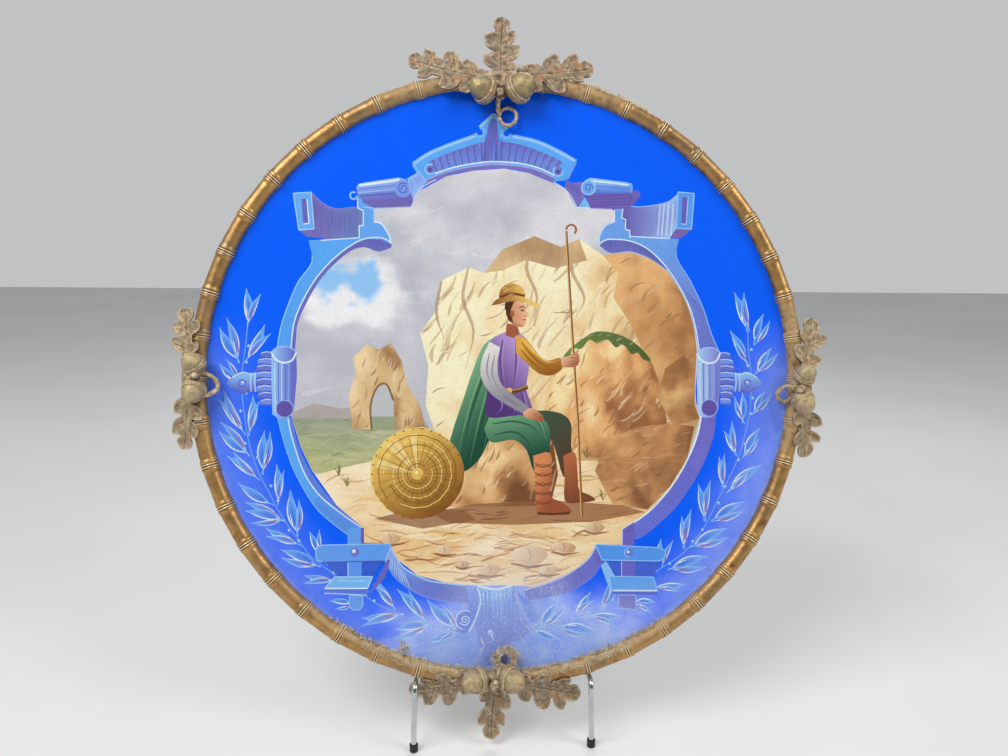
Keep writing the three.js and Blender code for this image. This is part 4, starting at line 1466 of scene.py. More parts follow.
def arch():
    left = curved([(-67, 160), (-55, 168), (-39, 175), (-20, 182)], 4)
    right = curved([(7, 182), (26, 178), (42, 171), (55, 164)], 4)
    outline = (left + [(-17, 181), (-14.5, 183.5), (-16, 187), (-7, 198), (2, 186.5), (-0.5, 183.5),
                       (1.5, 181)] + right + [(48, 150), (36, 148.5), (19.5, 156), (1, 159), (-22.5, 157),
                                              (-42.5, 152), (-58, 145)])
    area(outline, STRAP)
    under = curved([(-60, 147), (-51, 151.5), (-36, 156.5), (-18, 160), (-5, 161), (13, 160), (28, 156.5),
                    (40, 151)], 3)
    below = curved([(-57, 144), (-42.5, 151.5), (-22.5, 156), (1, 158), (19.5, 155), (37, 148)], 3)
    area(under + below[::-1], (126, 118, 196))
    top = curved([(-56, 162), (-39, 169.5), (-20, 176), (-7, 178.5), (13, 176), (32, 169.5), (45, 163.5)], 4)
    low = curved([(-51, 153.5), (-36, 158.5), (-18, 162), (-5, 163), (13, 162), (27, 158.8), (39, 153.5)], 4)
    area(top + low[::-1], toward((116, 140, 222), (104, 118, 206), (-5, 164), (-5, 178)))
    dice = random.Random(11)
    for i in range(19):
        share = (i + 0.5) / 19
        start, end = at_share(top, share), at_share(low, share)
        dash(start, end, 0.7, (80, 92, 186))
        ahead = at_share(top, min(1.0, share + 0.5 / 19))
        drop = mixed(start, end, dice.uniform(0.35, 0.6))
        area([start, drop, ahead], (118, 108, 190))
    area([(-16, 163), (-10.5, 163), (-8, 196), (-11, 190)], (110, 110, 196))
    area([(-5, 163), (2, 163), (-2, 178), (-5, 190)], (110, 124, 206))
    for x in (-13.5, -9, -5, -1.5):
        stroke([(x, 164), (x + 0.2, 172), (x + 0.6, 181)], 0.6, (76, 84, 178))
    stroke(low, 1.1, STRAP_EDGE)
    stroke(under, 0.8, (170, 178, 236))
    # The moulded edge with its two curls and the peak
    for side in (left, right):
        stroke(side, 3.4, (122, 184, 250))
        stroke(side, 0.9, (176, 220, 253))
    stroke([(-67, 160), (-64, 155), (-61, 148.5)], 2.2, (122, 184, 250))
    stroke([(55, 164), (52, 158), (48.5, 151)], 2.2, (104, 164, 246))
    lines([(-17.5, 188), (-7, 198), (3, 187)], 3.0, (122, 184, 250))
    lines([(-17.5, 188.6), (-7, 198.8), (3, 187.6)], 0.8, (176, 220, 253))
    ringlet(-17.5, 184.6, 3.4, 2.1, (122, 184, 250), 80, -250)
    ringlet(2.5, 184.2, 3.4, 2.1, (122, 184, 250), 100, 250)
    area([(-10.5, 178), (-3.5, 178), (-4.5, 193), (-7, 195.5), (-9.5, 193)], (104, 110, 200))
    for x, turn in ((-54.5, 60), (41.5, 120)):
        disc(x, 156.5, 3.6, (112, 122, 206), count=12)
        ringlet(x, 156.5, 3.6, 1.3, (150, 200, 250), turn, 260)
        disc(x, 156.2, 1.4, (92, 70, 150), count=8)


def clasp(x, side, light, dark):
    """The ribbed socket where two lengths of the frame meet, with its fan and bud outside."""
    wide = 12.5
    body = [(x - wide, 20), (x - wide * 0.5, 23.5), (x + wide * 0.4, 23.5), (x + wide, 20),
            (x + wide + 0.6, 2), (x + wide * 0.8, -24), (x + wide * 0.3, -29), (x - wide * 0.4, -29.5),
            (x - wide + 1, -26), (x - wide, -2)]
    body = [(x + (px - x) * 0.72, py) for px, py in body]
    area(body, toward(light, dark, (x - 8, 0), (x + 9, 0)))
    for i, far in enumerate((-6.5, -4, -1.5, 1, 3.5, 6)):
        tone = (214, 232, 253) if i in (0, 2) else ((92, 104, 200) if i % 2 else (150, 178, 244))
        stroke([(x + far, 12), (x + far * 1.02, -5), (x + far * 0.9, -24)], 0.8, tone, 0.75)
    rim = curved([(x - 9, 19.5), (x - 6, 14.5), (x, 12), (x + 6, 14), (x + 9, 20)], 3)
    stroke(rim, 1.3, STRAP_WHITE)
    swept([(x - 9, 20), (x - 4, 23.5), (x + 4, 23.5), (x + 9, 20)], 3, 0.8, (170, 196, 248))
    disc(x + 0.5, -22, 6.0, (102, 86, 170), count=16)
    ringlet(x + 0.5, -22, 6.4, 0.8, (150, 178, 244), 200, 300)
    # The fan of short leaves beside the socket
    for i in range(8):
        y = 17.5 - 5 * i
        reach = 10.5 * math.sqrt(max(0.1, 1 - (y / 24) ** 2))
        start = x + side * 9
        outer = start + side * reach
        blade = curved([(start, y + 2.4), (outer, y + 2.2), (outer + side * 0.8, y), (outer, y - 1.8),
                        (start, y - 2)], 2)
        area(blade, (120, 150, 236) if i % 2 else (104, 120, 212))
        stroke([(start, y + 2.2), ((start + outer) / 2, y + 2.6), (outer, y + 1.6)], 0.8,
               (196, 218, 252), 0.9)
        stroke([(start, y - 1.6), ((start + outer) / 2, y - 1.5), (outer, y - 1.2)], 0.7, (84, 80, 170), 0.8)
    # The bud at the end
    tip = x + side * 41
    stem = x + side * 20
    bud = curved([(stem, 4.5), (stem + side * 4, 3.5), (stem + side * 9, 5), (tip - side * 6, 2.5), (tip, -3),
                  (tip - side * 6, -8), (stem + side * 9, -10.5), (stem + side * 4, -8.5), (stem, -9.5)], 3)
    area(bud, toward((140, 196, 252), (92, 104, 206), (x, 3), (x, -9)))
    stroke(bud[:11], 0.8, (206, 230, 253))
    stroke(bud[14:], 0.9, (108, 88, 176), 0.8)
    disc(stem + side * 10, -3, 2.6, (108, 150, 240), count=10)
    ringlet(stem + side * 10, -3, 2.5, 0.7, (90, 80, 180), 0, 330)
    disc(stem + side * 9.6, -2.4, 0.9, STRAP_WHITE, count=6)
    for far in (0.5, 3.5):
        stroke([(stem + side * far, 5), (stem + side * (far + 0.6), -2.5), (stem + side * far, -9.5)], 0.9,
               (196, 222, 253), 0.85)


def upper_right_frame():
    outer = curved([(134, 106.5), (132, 92.5), (142, 76), (152.5, 54.5), (159, 34.5), (165, 21)], 3)
    inner = curved([(73, 102), (77, 105), (82, 106), (95.5, 105), (109, 99.5), (122, 88), (133.5, 72),
                    (142, 55.5), (147, 39), (150, 20)], 3)
    area(inner[6:] + outer[::-1] + [(96, 107.5)],
         toward((112, 168, 240), (112, 120, 206), (110, 100), (158, 26)))
    between(outer[4:], inner[14:], 44, 0.55, (132, 160, 234), 0.55, 13)
    between(outer[9:], inner[18:], 24, 0.6, (96, 100, 190), 0.5, 14)
    shade = curved([(73.5, 101), (82, 95.5), (97, 97), (112, 91.5), (123, 84)], 3)
    area(inner[1:16] + shade[::-1], (112, 116, 196))
    between(inner[2:14], shade, 26, 0.6, STRAP_DEEP, 0.6, 15)
    stroke(inner, 0.95, STRAP_EDGE)
    stroke(outer[2:], 0.8, (134, 186, 248))
    # The curved band to the pierced end, lit on its far side
    top = curved([(132.5, 140), (125.5, 134.5), (115.5, 132), (104, 130.5), (97, 131)], 3)
    low = [(132, 114.5), (127, 107.3), (112, 107.8), (96, 108.5)]
    area(top + [(90, 129), (90, 114), (96, 112)] + low[::-1],
         toward((108, 98, 180), (160, 196, 248), (92, 120), (128, 120)))
    between(top, low, 30, 0.6, (118, 116, 200), 0.6, 17)
    for x in (118, 121, 124.5, 128):
        stroke([(x + 1.5, 133), (x + 0.6, 121), (x - 0.4, 108.6)], 1.1, (222, 236, 254), 0.7)
    stroke(top, 0.7, (150, 190, 248))
    lines([(96, 108.2), (127, 106.8)], 0.9, STRAP_EDGE)
    area([(132, 114.5), (143.5, 114), (135.5, 107), (127, 107)], (124, 104, 176))
    edged([(133, 142), (145.5, 141), (143.5, 114), (132, 114.5)], (92, 160, 244), (150, 206, 252))
    area([(136.2, 138), (140.8, 138), (139.4, 117.5), (135.6, 118)], (104, 102, 192))
    lines([(140.8, 138), (139.4, 117.5), (135.6, 118)], 0.7, (178, 204, 250))
    # The plate behind the scroll
    lobe = curved([(84.5, 119), (79, 117), (75, 112.5), (73, 106.5), (73.5, 102)], 3)
    area([(84.5, 130), (91, 130), (90.5, 122), (93, 116), (93, 113.5), (96, 112.5), (96, 107), (82, 106),
          (77, 105)] + lobe[::-1], (112, 166, 240))
    lines([(91, 129), (90, 122), (93, 121), (93, 113.5), (96.4, 112.5), (96.4, 107)], 0.85, STRAP_EDGE)
    lines([(84.5, 128), (84.5, 119)], 0.9, STRAP_WHITE)
    stroke(lobe, 1.3, (196, 222, 253))
    stroke(inner[1:8], 0.9, STRAP_EDGE)


def right_scroll():
    area([(47, 151), (52, 148), (60.5, 149), (62, 138), (60.5, 131), (55.5, 129.5), (47, 144)],
         (122, 118, 200))
    between([(46, 150), (59, 148)], [(48, 144), (58, 131)], 10, 0.6, (88, 84, 168), 0.7, 19)
    swept([(38, 148.5), (46.5, 143.5), (52, 137), (56, 129.8)], 3, 0.8, (206, 214, 246))
    area([(61, 134), (66, 140), (97, 145), (103, 138.5), (100, 133), (93, 129), (80, 128.5), (55.5, 129.3)],
         (116, 100, 182))
    for step in range(5):
        y = 131 + 2.2 * step
        stroke([(67 - step, y), (82, y + 1.0), (98, y + 1.6)], 0.7, (88, 74, 158), 0.6)
    body = [(62, 150), (66, 152), (93, 149), (97, 148), (98, 143.5), (96, 141), (68, 140), (63, 142)]
    area(body, toward((150, 206, 252), (84, 122, 226), (80, 150), (80, 140)))
    stroke([(68, 149.6), (82, 148.4), (95, 146.9)], 1.3, STRAP_WHITE, 0.9)
    stroke([(68, 146.2), (82, 145.3), (95, 144)], 0.7, (84, 120, 224), 0.8)
    stroke([(97, 148.4), (98, 145), (97, 141)], 1.1, (112, 172, 248))
    disc(64.6, 144.4, 5.4, (110, 172, 247), count=16)
    ringlet(64.6, 144.4, 5.2, 0.8, (176, 216, 252), 100, 330)
    ringlet(64.6, 144.4, 3.2, 0.8, (84, 96, 196), 0, 420, 0.7)
    area([(57, 130), (62, 137.5), (66, 130)], (128, 190, 250))
    lines([(55.5, 129.6), (66, 129.4)], 0.9, STRAP_EDGE)
    lines([(66, 129), (82, 128.6)], 0.7, (176, 170, 226))
    disc(101, 139.5, 3.4, (112, 104, 190), count=10)


def lower_left_frame():
    outer = curved([(-166.5, -28.5), (-161.5, -48), (-153.5, -70), (-140, -93.5), (-128, -105.5),
                    (-114, -116.5)], 3)
    inner = curved([(-159, -28.5), (-156.5, -41.5), (-148.5, -66.5), (-137, -85), (-121, -99),
                    (-105, -110.5)], 3)
    rim = curved([(-156, -28.5), (-152, -47), (-142, -69.5), (-125, -92), (-105, -109.5)], 3)
    area(outer + inner[::-1], toward(STRAP, (96, 156, 240), (-150, -75), (-125, -108)))
    area(inner + rim[::-1], (98, 132, 226))
    between(outer[9:], inner[9:], 26, 0.6, (84, 112, 208), 0.65, 21)
    stroke(inner[:12], 0.95, STRAP_EDGE)
    stroke(inner[11:], 1.1, (206, 214, 244))
    stroke(outer, 0.7, (134, 186, 250))
    # The strap, the riveted bar, the shelf under it and the strap's rounded end
    area([(-115.5, -111), (-104.5, -110.5), (-104.5, -123), (-115.5, -123)], (104, 164, 244))
    area([(-105.6, -110.5), (-103.4, -110.5), (-103.4, -123), (-105.6, -123)], (108, 96, 180))
    area([(-86, -134), (-93, -147), (-100, -160.5), (-88, -148), (-84, -135)], (112, 108, 196))
    area([(-132, -135), (-88, -135), (-97, -147), (-122, -147)], (48, 92, 214))
    between([(-131, -135.5), (-90, -135.5)], [(-123, -146), (-98, -146)], 16, 0.6, (110, 138, 228), 0.5, 23)
    area([(-115, -134.5), (-105, -134.5), (-105, -146), (-115, -146)], (92, 156, 244))
    lines([(-115, -135), (-115, -145.6)], 0.7, (190, 220, 253))
    bar = curved([(-138.5, -127.5), (-137.5, -124), (-133, -122.8)], 3)
    bar += [(-84.5, -122.6), (-83.5, -125), (-88, -135), (-133, -135.4), (-137.5, -134), (-138.6, -131)]
    edged(bar, (100, 162, 245), (160, 206, 252), 0.7)
    lines([(-134, -135.4), (-88, -135.2)], 0.9, (84, 94, 196))
    disc(-110, -128.3, 3.3, (122, 118, 204), count=14)
    disc(-110.8, -127.6, 1.5, (224, 236, 254), count=8)
    edged([(-124.5, -146.3), (-97, -146.6), (-100.5, -155), (-132, -154.4)], (120, 190, 250),
          (178, 222, 253), 0.7)
    stroke([(-122, -149.2), (-112, -149.6), (-102, -149.8)], 1.0, (176, 222, 253), 0.7)
    area([(-132, -154.6), (-100.5, -155), (-101, -160), (-132, -158)], (86, 120, 224))
    lines([(-132, -154.9), (-100.5, -155.3)], 0.8, STRAP_WHITE)
    lines([(-132, -158.2), (-101, -160.2)], 0.8, (170, 206, 251))
    end = [(-114, -160), (-104, -160.6), (-104, -168), (-106.5, -171), (-111.5, -171), (-114, -168)]
    edged(end, (100, 160, 244), (150, 200, 252), 0.6)


def lower_left_arc():
    outer = curved([(-88, -135), (-80, -148), (-63.5, -160), (-45, -165.5), (-24, -168)], 4)
    inner = curved([(-84.5, -123.5), (-82, -129), (-73.5, -141), (-56.5, -150), (-39.5, -153),
                    (-26, -154.6)], 4)
    area(outer + inner[::-1], toward((120, 172, 246), (116, 128, 214), (-84, -130), (-50, -158)))
    between(outer, inner, 52, 0.65, (92, 104, 204), 0.6, 25)
    between(outer[:8], inner[:8], 10, 1.0, (190, 216, 252), 0.7, 26)
    stroke(inner, 1.2, (176, 206, 250))
    stroke(outer, 0.9, (116, 152, 238))


def lower_right_frame():
    outer = curved([(163.5, -19), (160.5, -44.5), (149, -72), (131.5, -97.5), (110.5, -116.5),
                    (101, -122)], 3)
    inner = curved([(152, -23.5), (148.5, -42), (140.5, -61.5), (128, -82), (110.5, -101), (91.5, -113.5)], 3)
    area(outer + inner[::-1], toward((116, 110, 204), (106, 120, 222), (155, -40), (110, -108)))
    between(outer, inner, 60, 0.6, (140, 140, 224), 0.45, 27)
    between(outer[6:], inner[6:], 34, 0.7, (88, 92, 196), 0.55, 28)
    stroke(inner, 1.2, STRAP_WHITE)
    area([(91, -113.8), (99.5, -108.5), (99.5, -126), (91, -126)], (112, 104, 196))
    lines([(90.6, -113.5), (90.3, -125.8)], 0.9, (196, 208, 248))
    area([(75, -138), (120, -138), (114, -149.5), (81, -149)], (60, 98, 216))
    between([(78, -138), (118, -138)], [(82, -148.5), (113, -149)], 18, 0.6, (112, 134, 226), 0.5, 29)
    area([(89.5, -137.5), (100, -137.5), (100, -149.5), (89.5, -149.5)], (108, 104, 204))
    lines([(89.8, -138), (89.8, -149)], 0.7, (170, 190, 248))
    bar = [(70, -125), (119, -128), (122.5, -129.8), (123.6, -133), (121.5, -136.8),
           (118, -138), (75, -136.8)]
    edged(bar, (88, 156, 244), (150, 204, 252), 0.7)
    disc(95.5, -131.6, 3.3, (104, 124, 220), count=14)
    ringlet(95.5, -131.6, 3.2, 0.6, (176, 206, 251), 90, 200)
    disc(94.9, -131.0, 1.1, (224, 236, 254), count=8)
    area([(74, -141), (78, -137.5), (86, -151), (82, -160.5), (78, -152)], (142, 200, 252))
    edged([(80.5, -149), (114, -150), (117, -160), (82, -159.4)], (98, 168, 246), (150, 208, 252), 0.6)
    area([(82, -159.4), (117, -160), (117, -163.4), (84, -162.6)], (74, 96, 206))
    lines([(83, -159.9), (117, -160.4)], 0.9, STRAP_WHITE)
    edged([(87.5, -163), (100.5, -163.5), (100.5, -174.5), (87.5, -173)], (112, 112, 206),
          (168, 190, 248), 0.6)


def lower_right_arc():
    outer = curved([(76, -137), (67, -150), (50, -160), (34, -164), (17.5, -166.5)], 4)
    inner = curved([(71, -125), (64, -136.5), (50, -146.5), (36, -152.8), (24.5, -156.5), (15.5, -158.5)], 4)
    area(outer + inner[::-1], (116, 118, 206))
    between(outer, inner, 46, 0.65, (88, 84, 188), 0.6, 31)
    between(outer[2:], inner[2:], 30, 0.6, (146, 160, 236), 0.5, 32)
    stroke(inner, 1.1, (186, 200, 246))
    stroke(outer, 0.7, (116, 130, 226))


def bottom_clasp():
    flare = [(-28.5, -154), (-19, -156.5), (-17, -163.5), (-17.5, -170), (-21, -180), (-25.5, -188.5),
             (-30, -190), (-36, -188), (-27, -176), (-25, -166)]
    area(flare, toward((116, 152, 240), (104, 120, 226), (-22, -156), (-28, -188)))
    body = [(-19, -154.6), (-6, -157.4), (6.5, -155), (8.5, -160), (9, -168), (14, -180), (20, -190),
            (16, -194), (6, -197), (2, -214), (-13, -214), (-18, -196), (-21, -182),
            (-17.5, -170), (-17, -163)]
    area(body, toward((134, 186, 252), (116, 130, 224), (-6, -158), (-6, -186)))
    for i in range(9):
        x = -16 + 2.9 * i
        stroke([(x, -158.5 - 0.5 * abs(i - 4) * 0.2), (x + 0.3, -166), (x, -176 - (i % 3) * 3)], 0.8,
               (176, 214, 253) if i in (3, 4, 5) else (92, 110, 216), 0.6)
    swept([(-19, -154.8), (-6, -157.8), (7, -155)], 4, 1.6, STRAP_WHITE)
    for i in range(7):
        x = -15 + 3.2 * i
        stroke([(x, -158.6), (x + 0.2, -162), (x + 0.1, -166 - (i % 3))], 1.1, (222, 236, 254),
               0.7, pointed=True)
    swept([(-19, -156.6), (-17, -163.5), (-17.5, -170), (-21, -180), (-25.5, -188.5)], 3, 1.2, STRAP_EDGE)
    swept([(8, -157), (9, -166), (14, -178), (22, -189)], 3, 1.0, (132, 136, 222))
    between([(9, -158), (12, -166), (20, -184)], [(17, -166), (24, -168), (30, -178)], 22, 0.7,
            (126, 124, 216), 0.6, 33)
    disc(-28.5, -180, 6.2, (88, 118, 230), count=16)
    ringlet(-28.5, -180, 6.0, 2.0, (150, 206, 253), 0, 360)
    ringlet(-28.5, -180, 7.0, 0.6, STRAP_WHITE, 60, 200)
    ringlet(-28.5, -180.0, 4.2, 0.9, (196, 226, 254), 200, 640, 0.9)
    disc(-9.5, -189.5, 2.4, (150, 180, 248), count=10)
    disc(-10, -188.8, 1.0, STRAP_WHITE, count=8)
    for start, end in (((-14.5, -199), (-17, -192)), ((-7, -196), (-9, -190)), ((-18, -205), (-14, -199))):
        dash(start, end, 1.8, (196, 214, 250), 0.85, pointed=True)


def frame_round_picture():
    upper_left_frame()
    upper_right_frame()
    arch()
    left_scroll()
    right_scroll()
    lower_left_arc()
    lower_right_arc()
    lower_left_frame()
    lower_right_frame()
    clasp(-162, -1, (150, 200, 250), (104, 108, 206))
    clasp(157, 1, (176, 212, 252), (126, 128, 214))
    bottom_clasp()


# The picture in the middle: a traveller resting among rocks by the sea

PICTURE = [
    (-67, 133), (-63.5, 140), (-56, 144), (-42.5, 151.5), (-22.5, 156), (1, 158), (19.5, 155), (37, 148),
    (47, 144), (56.5, 129.5), (82, 129), (84.5, 127), (84.5, 119), (79, 116.5), (73, 106.5), (75, 101.5),
    (82, 96), (97, 97.5), (112, 92), (125.5, 82.5), (135.5, 67.5), (142, 54.5), (146.5, 38), (149, 21.5),
    (147, -8.5), (147.5, -18.5), (152, -27), (148, -42.5), (140, -62.5), (128, -82), (110.5, -100.5),
    (91.5, -113.5), (90.5, -125.5), (71, -125), (64, -136.5), (50, -146.5), (24.5, -156.5), (7, -155),
    (-19, -154.5), (-39.5, -153), (-63.5, -146.5), (-78.5, -134.5), (-84.5, -123), (-104.5, -121.5),
    (-105, -110.5), (-123.5, -93.5), (-140, -70), (-150, -49.5), (-156.5, -28), (-154.5, 14), (-154, 20.5),
    (-152.5, 40), (-146.5, 56), (-137, 72.5), (-126, 86), (-113.5, 97), (-102.5, 101), (-93, 96),
    (-83.5, 101), (-84.5, 106.5), (-89, 114.5), (-96, 116.5), (-96, 126.5), (-69, 128.5),
]


def sky(x, y):
    cloud = noise.fractal(Vector((x * 0.013, y * 0.019, 3.1)), 0.9, 2.1, 5)
    puffs = noise.fractal(Vector((x * 0.034, y * 0.045, 8.4)), 0.9, 2.0, 4)
    grey = mixed((190, 192, 204), (226, 224, 228), clamp(0.5 + 0.9 * cloud + 0.4 * puffs))
    edge = 17 * puffs + 9 * cloud
    reach = math.hypot((x + 121) * 0.85, (y - 76) * 1.5)
    bank = math.hypot((x + 119) * 0.7, (y - 67) * 1.3)
    grey = mixed(grey, (250, 249, 250), ease(40 + edge, 24 + edge, bank) * 0.9)
    grey = mixed(grey, (150, 202, 250), ease(25 + edge, 17 + edge, reach))
    return mixed(grey, (196, 194, 202), ease(50, -25, y) * 0.6)


def warmer(colour):
    """The same tone in late sunlight: a little redder and less blue."""
    return (min(255, colour[0] * 1.06), min(255, colour[1] * 1.02), colour[2] * 0.93)


def rock_tone(light, middle, dark, slope, grain, seed):
    """Stone that is lit from the upper left, in broad facets with some grain."""
    light, middle, dark = warmer(light), warmer(middle), warmer(dark)

    def colour(x, y):
        bend = noise.fractal(Vector((x * 0.025, y * 0.02, seed + 20)), 0.9, 2.1, 3)
        facet = clamp(5 * noise.noise(Vector((x * 0.045 + 1.5 * bend, y * 0.035 - bend, seed))), -1, 1)
        soft = noise.fractal(Vector((x * grain, y * grain * 0.7, seed)), 0.8, 2.2, 4)
        share = clamp(slope[0] * x + slope[1] * y + slope[2] + 0.13 * facet + 0.45 * soft)
        return mixed(light, middle, share * 2) if share < 0.5 else mixed(middle, dark, share * 2 - 1)
    return colour


def stone(outline, light, middle, dark, slope, grain, seed):
    area(outline, rock_tone(light, middle, dark, slope, grain, seed))


def sand(x, y):
    drift = noise.fractal(Vector((x * 0.018, y * 0.06, 1.7)), 0.9, 2.2, 5)
    fine = noise.noise(Vector((x * 0.16, y * 0.5, 4.0)))
    light = mixed((255, 238, 202), (240, 202, 144), clamp(0.42 + 0.9 * drift + 0.15 * fine))
    return mixed(light, (232, 186, 116), ease(20, 140, x) * 0.55 + ease(-120, -155, y) * 0.2)


def sea(x, y):
    ripple = noise.fractal(Vector((x * 0.03, y * 0.22, 6.2)), 0.8, 2.0, 4)
    near = ease(-30, -62, y)
    return mixed(mixed((150, 160, 140), (178, 184, 130), near), (222, 214, 164),
                 clamp(0.3 + 0.8 * ripple) * 0.55)


def landscape():
    area(PICTURE, sky)
    brushwork(PICTURE, 90, 12, 26, 3.4, [(218, 218, 228), (204, 204, 218), (234, 232, 234)], 41, 0.35)
    # Far shore and sea on the left
    shore = [(-156, -25), (-140, -18), (-120, -22), (-100, -19), (-84, -25), (-60, -24),
             (-60, -32), (-156, -32)]
    area(shore, (176, 166, 158), 0.8)
    water = [(-156.3, -29), (-60, -29), (-48, -50), (-80, -60), (-120, -72), (-141, -69), (-150, -50)]
    area(water, sea)
    brushwork(water, 80, 2, 16, 0.9, [(120, 136, 104), (206, 204, 160), (150, 160, 120)], 43, 0.6)
    # Sand and shadows in front
    ground = [(-139, -71), (-120, -66), (-92, -60), (-60, -52), (-30, -50), (20, -56), (80, -60), (147, -58)]
    ground += PICTURE[PICTURE.index((140, -62.5)):PICTURE.index((-140, -70))]
    area(ground, sand)
    brushwork(ground, 330, 4, 24, 1.4,
              [(206, 146, 92), (255, 246, 224), (230, 184, 124), (182, 118, 72)], 45, 0.45)
    front = [(-92, -118), (-40, -112), (30, -116), (88, -112), (90, -125), (70, -127), (62, -138),
             (48, -147), (24, -156), (-38, -153), (-62, -147), (-78, -135)]
    brushwork(front, 130, 3, 19, 1.7,
              [(186, 120, 68), (255, 246, 222), (222, 162, 98), (150, 92, 54)], 46, 0.6)


def cliffs():
    stack = [(-112, -38), (-115, -12), (-110, 4), (-112, 16), (-102, 26), (-93, 22), (-84, 27), (-76, 14),
             (-72, -4), (-62, -20), (-58, -38)]
    arch_hole = [(-98, -38), (-99, -20), (-94, -6), (-87, -4), (-82, -16), (-81, -38)]
    stone(stack, (232, 214, 182), (206, 178, 140), (150, 116, 86), (0.012, -0.004, 1.5), 0.05, 2.0)
    brushwork(stack, 60, 70, 9, 1.3, [(170, 130, 94), (240, 226, 196), (140, 104, 76)], 47, 0.6)
    area(arch_hole, (196, 198, 200))
    area([(-98, -38), (-98, -28), (-81, -28), (-81, -38)], (160, 168, 136))
    swept([(-98, -38), (-99, -20), (-94, -6), (-87, -4), (-82, -16)], 3, 1.6, (128, 92, 66), 0.8)
    right_edge = [(76, 94), (97, 96), (112, 91), (125.5, 81.5), (135.5, 66.5), (141.5, 54), (146, 38),
                  (148, 21.5), (146, -8.5), (146.5, -18.5)]
    wall = [(-48, -48), (-58, -20), (-56, 10), (-62, 34), (-50, 52), (-46, 74), (-26, 84), (-14, 80), (0, 98),
            (24, 108), (44, 100), (58, 106)] + right_edge + [(150, -30), (140, -62), (60, -62)]
    stone(wall, (252, 242, 220), (232, 210, 172), (186, 148, 108), (0.004, -0.003, 0.2), 0.03, 5.0)
    brushwork(wall, 240, 62, 20, 2.6,
              [(255, 248, 230), (206, 174, 132), (232, 210, 172), (186, 150, 110)], 51, 0.5)
    brushwork(wall, 90, 28, 13, 1.0, [(150, 112, 78), (255, 252, 240)], 52, 0.6)
    bends = ([(-26, 84), (-30, 60), (-22, 36), (-28, 8)], [(24, 108), (18, 84), (26, 62), (20, 40)],
             [(58, 106), (52, 84), (62, 62), (56, 48)], [(-46, 74), (-50, 50), (-44, 30)])
    folds(bends, 2.6, (170, 128, 90), 0.55, (248, 240, 220), 2.6, 1.2, 0.6)
    shadow_side = right_edge + [(118, -14), (108, 20), (96, 44), (84, 62), (88, 80)]
    stone(shadow_side, (226, 186, 138), (196, 150, 106), (152, 108, 72), (0.003, -0.004, 0.2), 0.04, 7.0)
    brushwork(shadow_side, 90, 40, 14, 2.0, [(160, 118, 80), (212, 178, 136), (134, 94, 62)], 53, 0.5)
    far_ridge = [(-14, 80), (0, 98), (24, 108), (44, 100), (58, 106), (64, 90), (40, 84), (18, 90), (0, 82)]
    stone(far_ridge, (214, 192, 160), (190, 162, 130), (160, 130, 104), (0.002, 0, 0.3), 0.05, 8.0)


def boulders():
    big = [(38, -58), (30, -30), (36, -4), (50, 20), (70, 34), (92, 30), (112, 16), (122, -8),
           (126, -40), (110, -62)]
    stone(big, (252, 226, 186), (222, 174, 124), (150, 102, 70), (0.011, -0.006, -0.42), 0.05, 9.0)
    brushwork(big, 110, 55, 12, 1.8,
              [(226, 184, 134), (166, 114, 76), (252, 230, 194), (130, 84, 56)], 55, 0.5)
    moss = curved([(44, 14), (50, 22), (60, 30), (71, 36), (84, 35), (95, 31), (106, 23), (113, 14),
                   (107, 15), (103, 20), (98, 19), (92, 26), (86, 24), (80, 30), (72, 27), (66, 30),
                   (60, 23), (54, 23), (50, 15)], 3)
    area(moss, toward((112, 138, 74), (84, 104, 58), (50, 20), (110, 20)))
    brushwork(moss, 60, 20, 6, 1.3, [(160, 170, 96), (66, 92, 50), (188, 184, 120)], 57, 0.75)
    low = [(84, -96), (70, -70), (80, -46), (104, -36), (130, -34), (146, -36), (140, -62),
           (127, -82), (110, -99)]
    stone(low, (226, 182, 134), (184, 138, 98), (126, 86, 60), (0.006, -0.004, -0.4), 0.06, 10.0)
    brushwork(low, 70, 20, 10, 1.7, [(224, 184, 136), (120, 80, 54), (170, 122, 84)], 59, 0.5)
    side = [(118, -14), (124, 8), (138, 18), (147, 8), (146, -20), (150, -30), (130, -36)]
    stone(side, (216, 180, 134), (166, 120, 82), (120, 84, 58), (0.01, 0, -0.9), 0.06, 11.0)


SKIN = (214, 146, 104)
SKIN_SHADE = (168, 96, 64)
SKIN_LIGHT = (238, 186, 146)
GREEN_DARK = (30, 78, 58)
GREEN_LIGHT = (130, 184, 138)
PURPLE_DARK = (86, 56, 122)
PURPLE_LIGHT = (188, 156, 216)


def seat_stone():
    """The stone that the traveller sits on, with its shadow."""
    seat = [(-44, -96), (-48, -70), (-40, -44), (-24, -30), (2, -26), (26, -32), (38, -46),
            (42, -72), (36, -96)]
    stone(seat, (236, 212, 172), (200, 156, 110), (120, 80, 54), (0.012, -0.012, -0.3), 0.06, 12.0)
    brushwork(seat, 70, 60, 11, 1.8, [(214, 176, 130), (140, 96, 64), (246, 228, 194)], 61, 0.55)
    area([(-56, -100), (-20, -94), (40, -92), (92, -96), (108, -101), (70, -108), (10, -110), (-40, -108)],
         (150, 98, 62), 0.75)
    brushwork([(-56, -98), (40, -90), (108, -99), (70, -110), (-40, -110)], 40, 3, 18, 1.4,
              [(120, 76, 48), (176, 120, 78)], 62, 0.6)


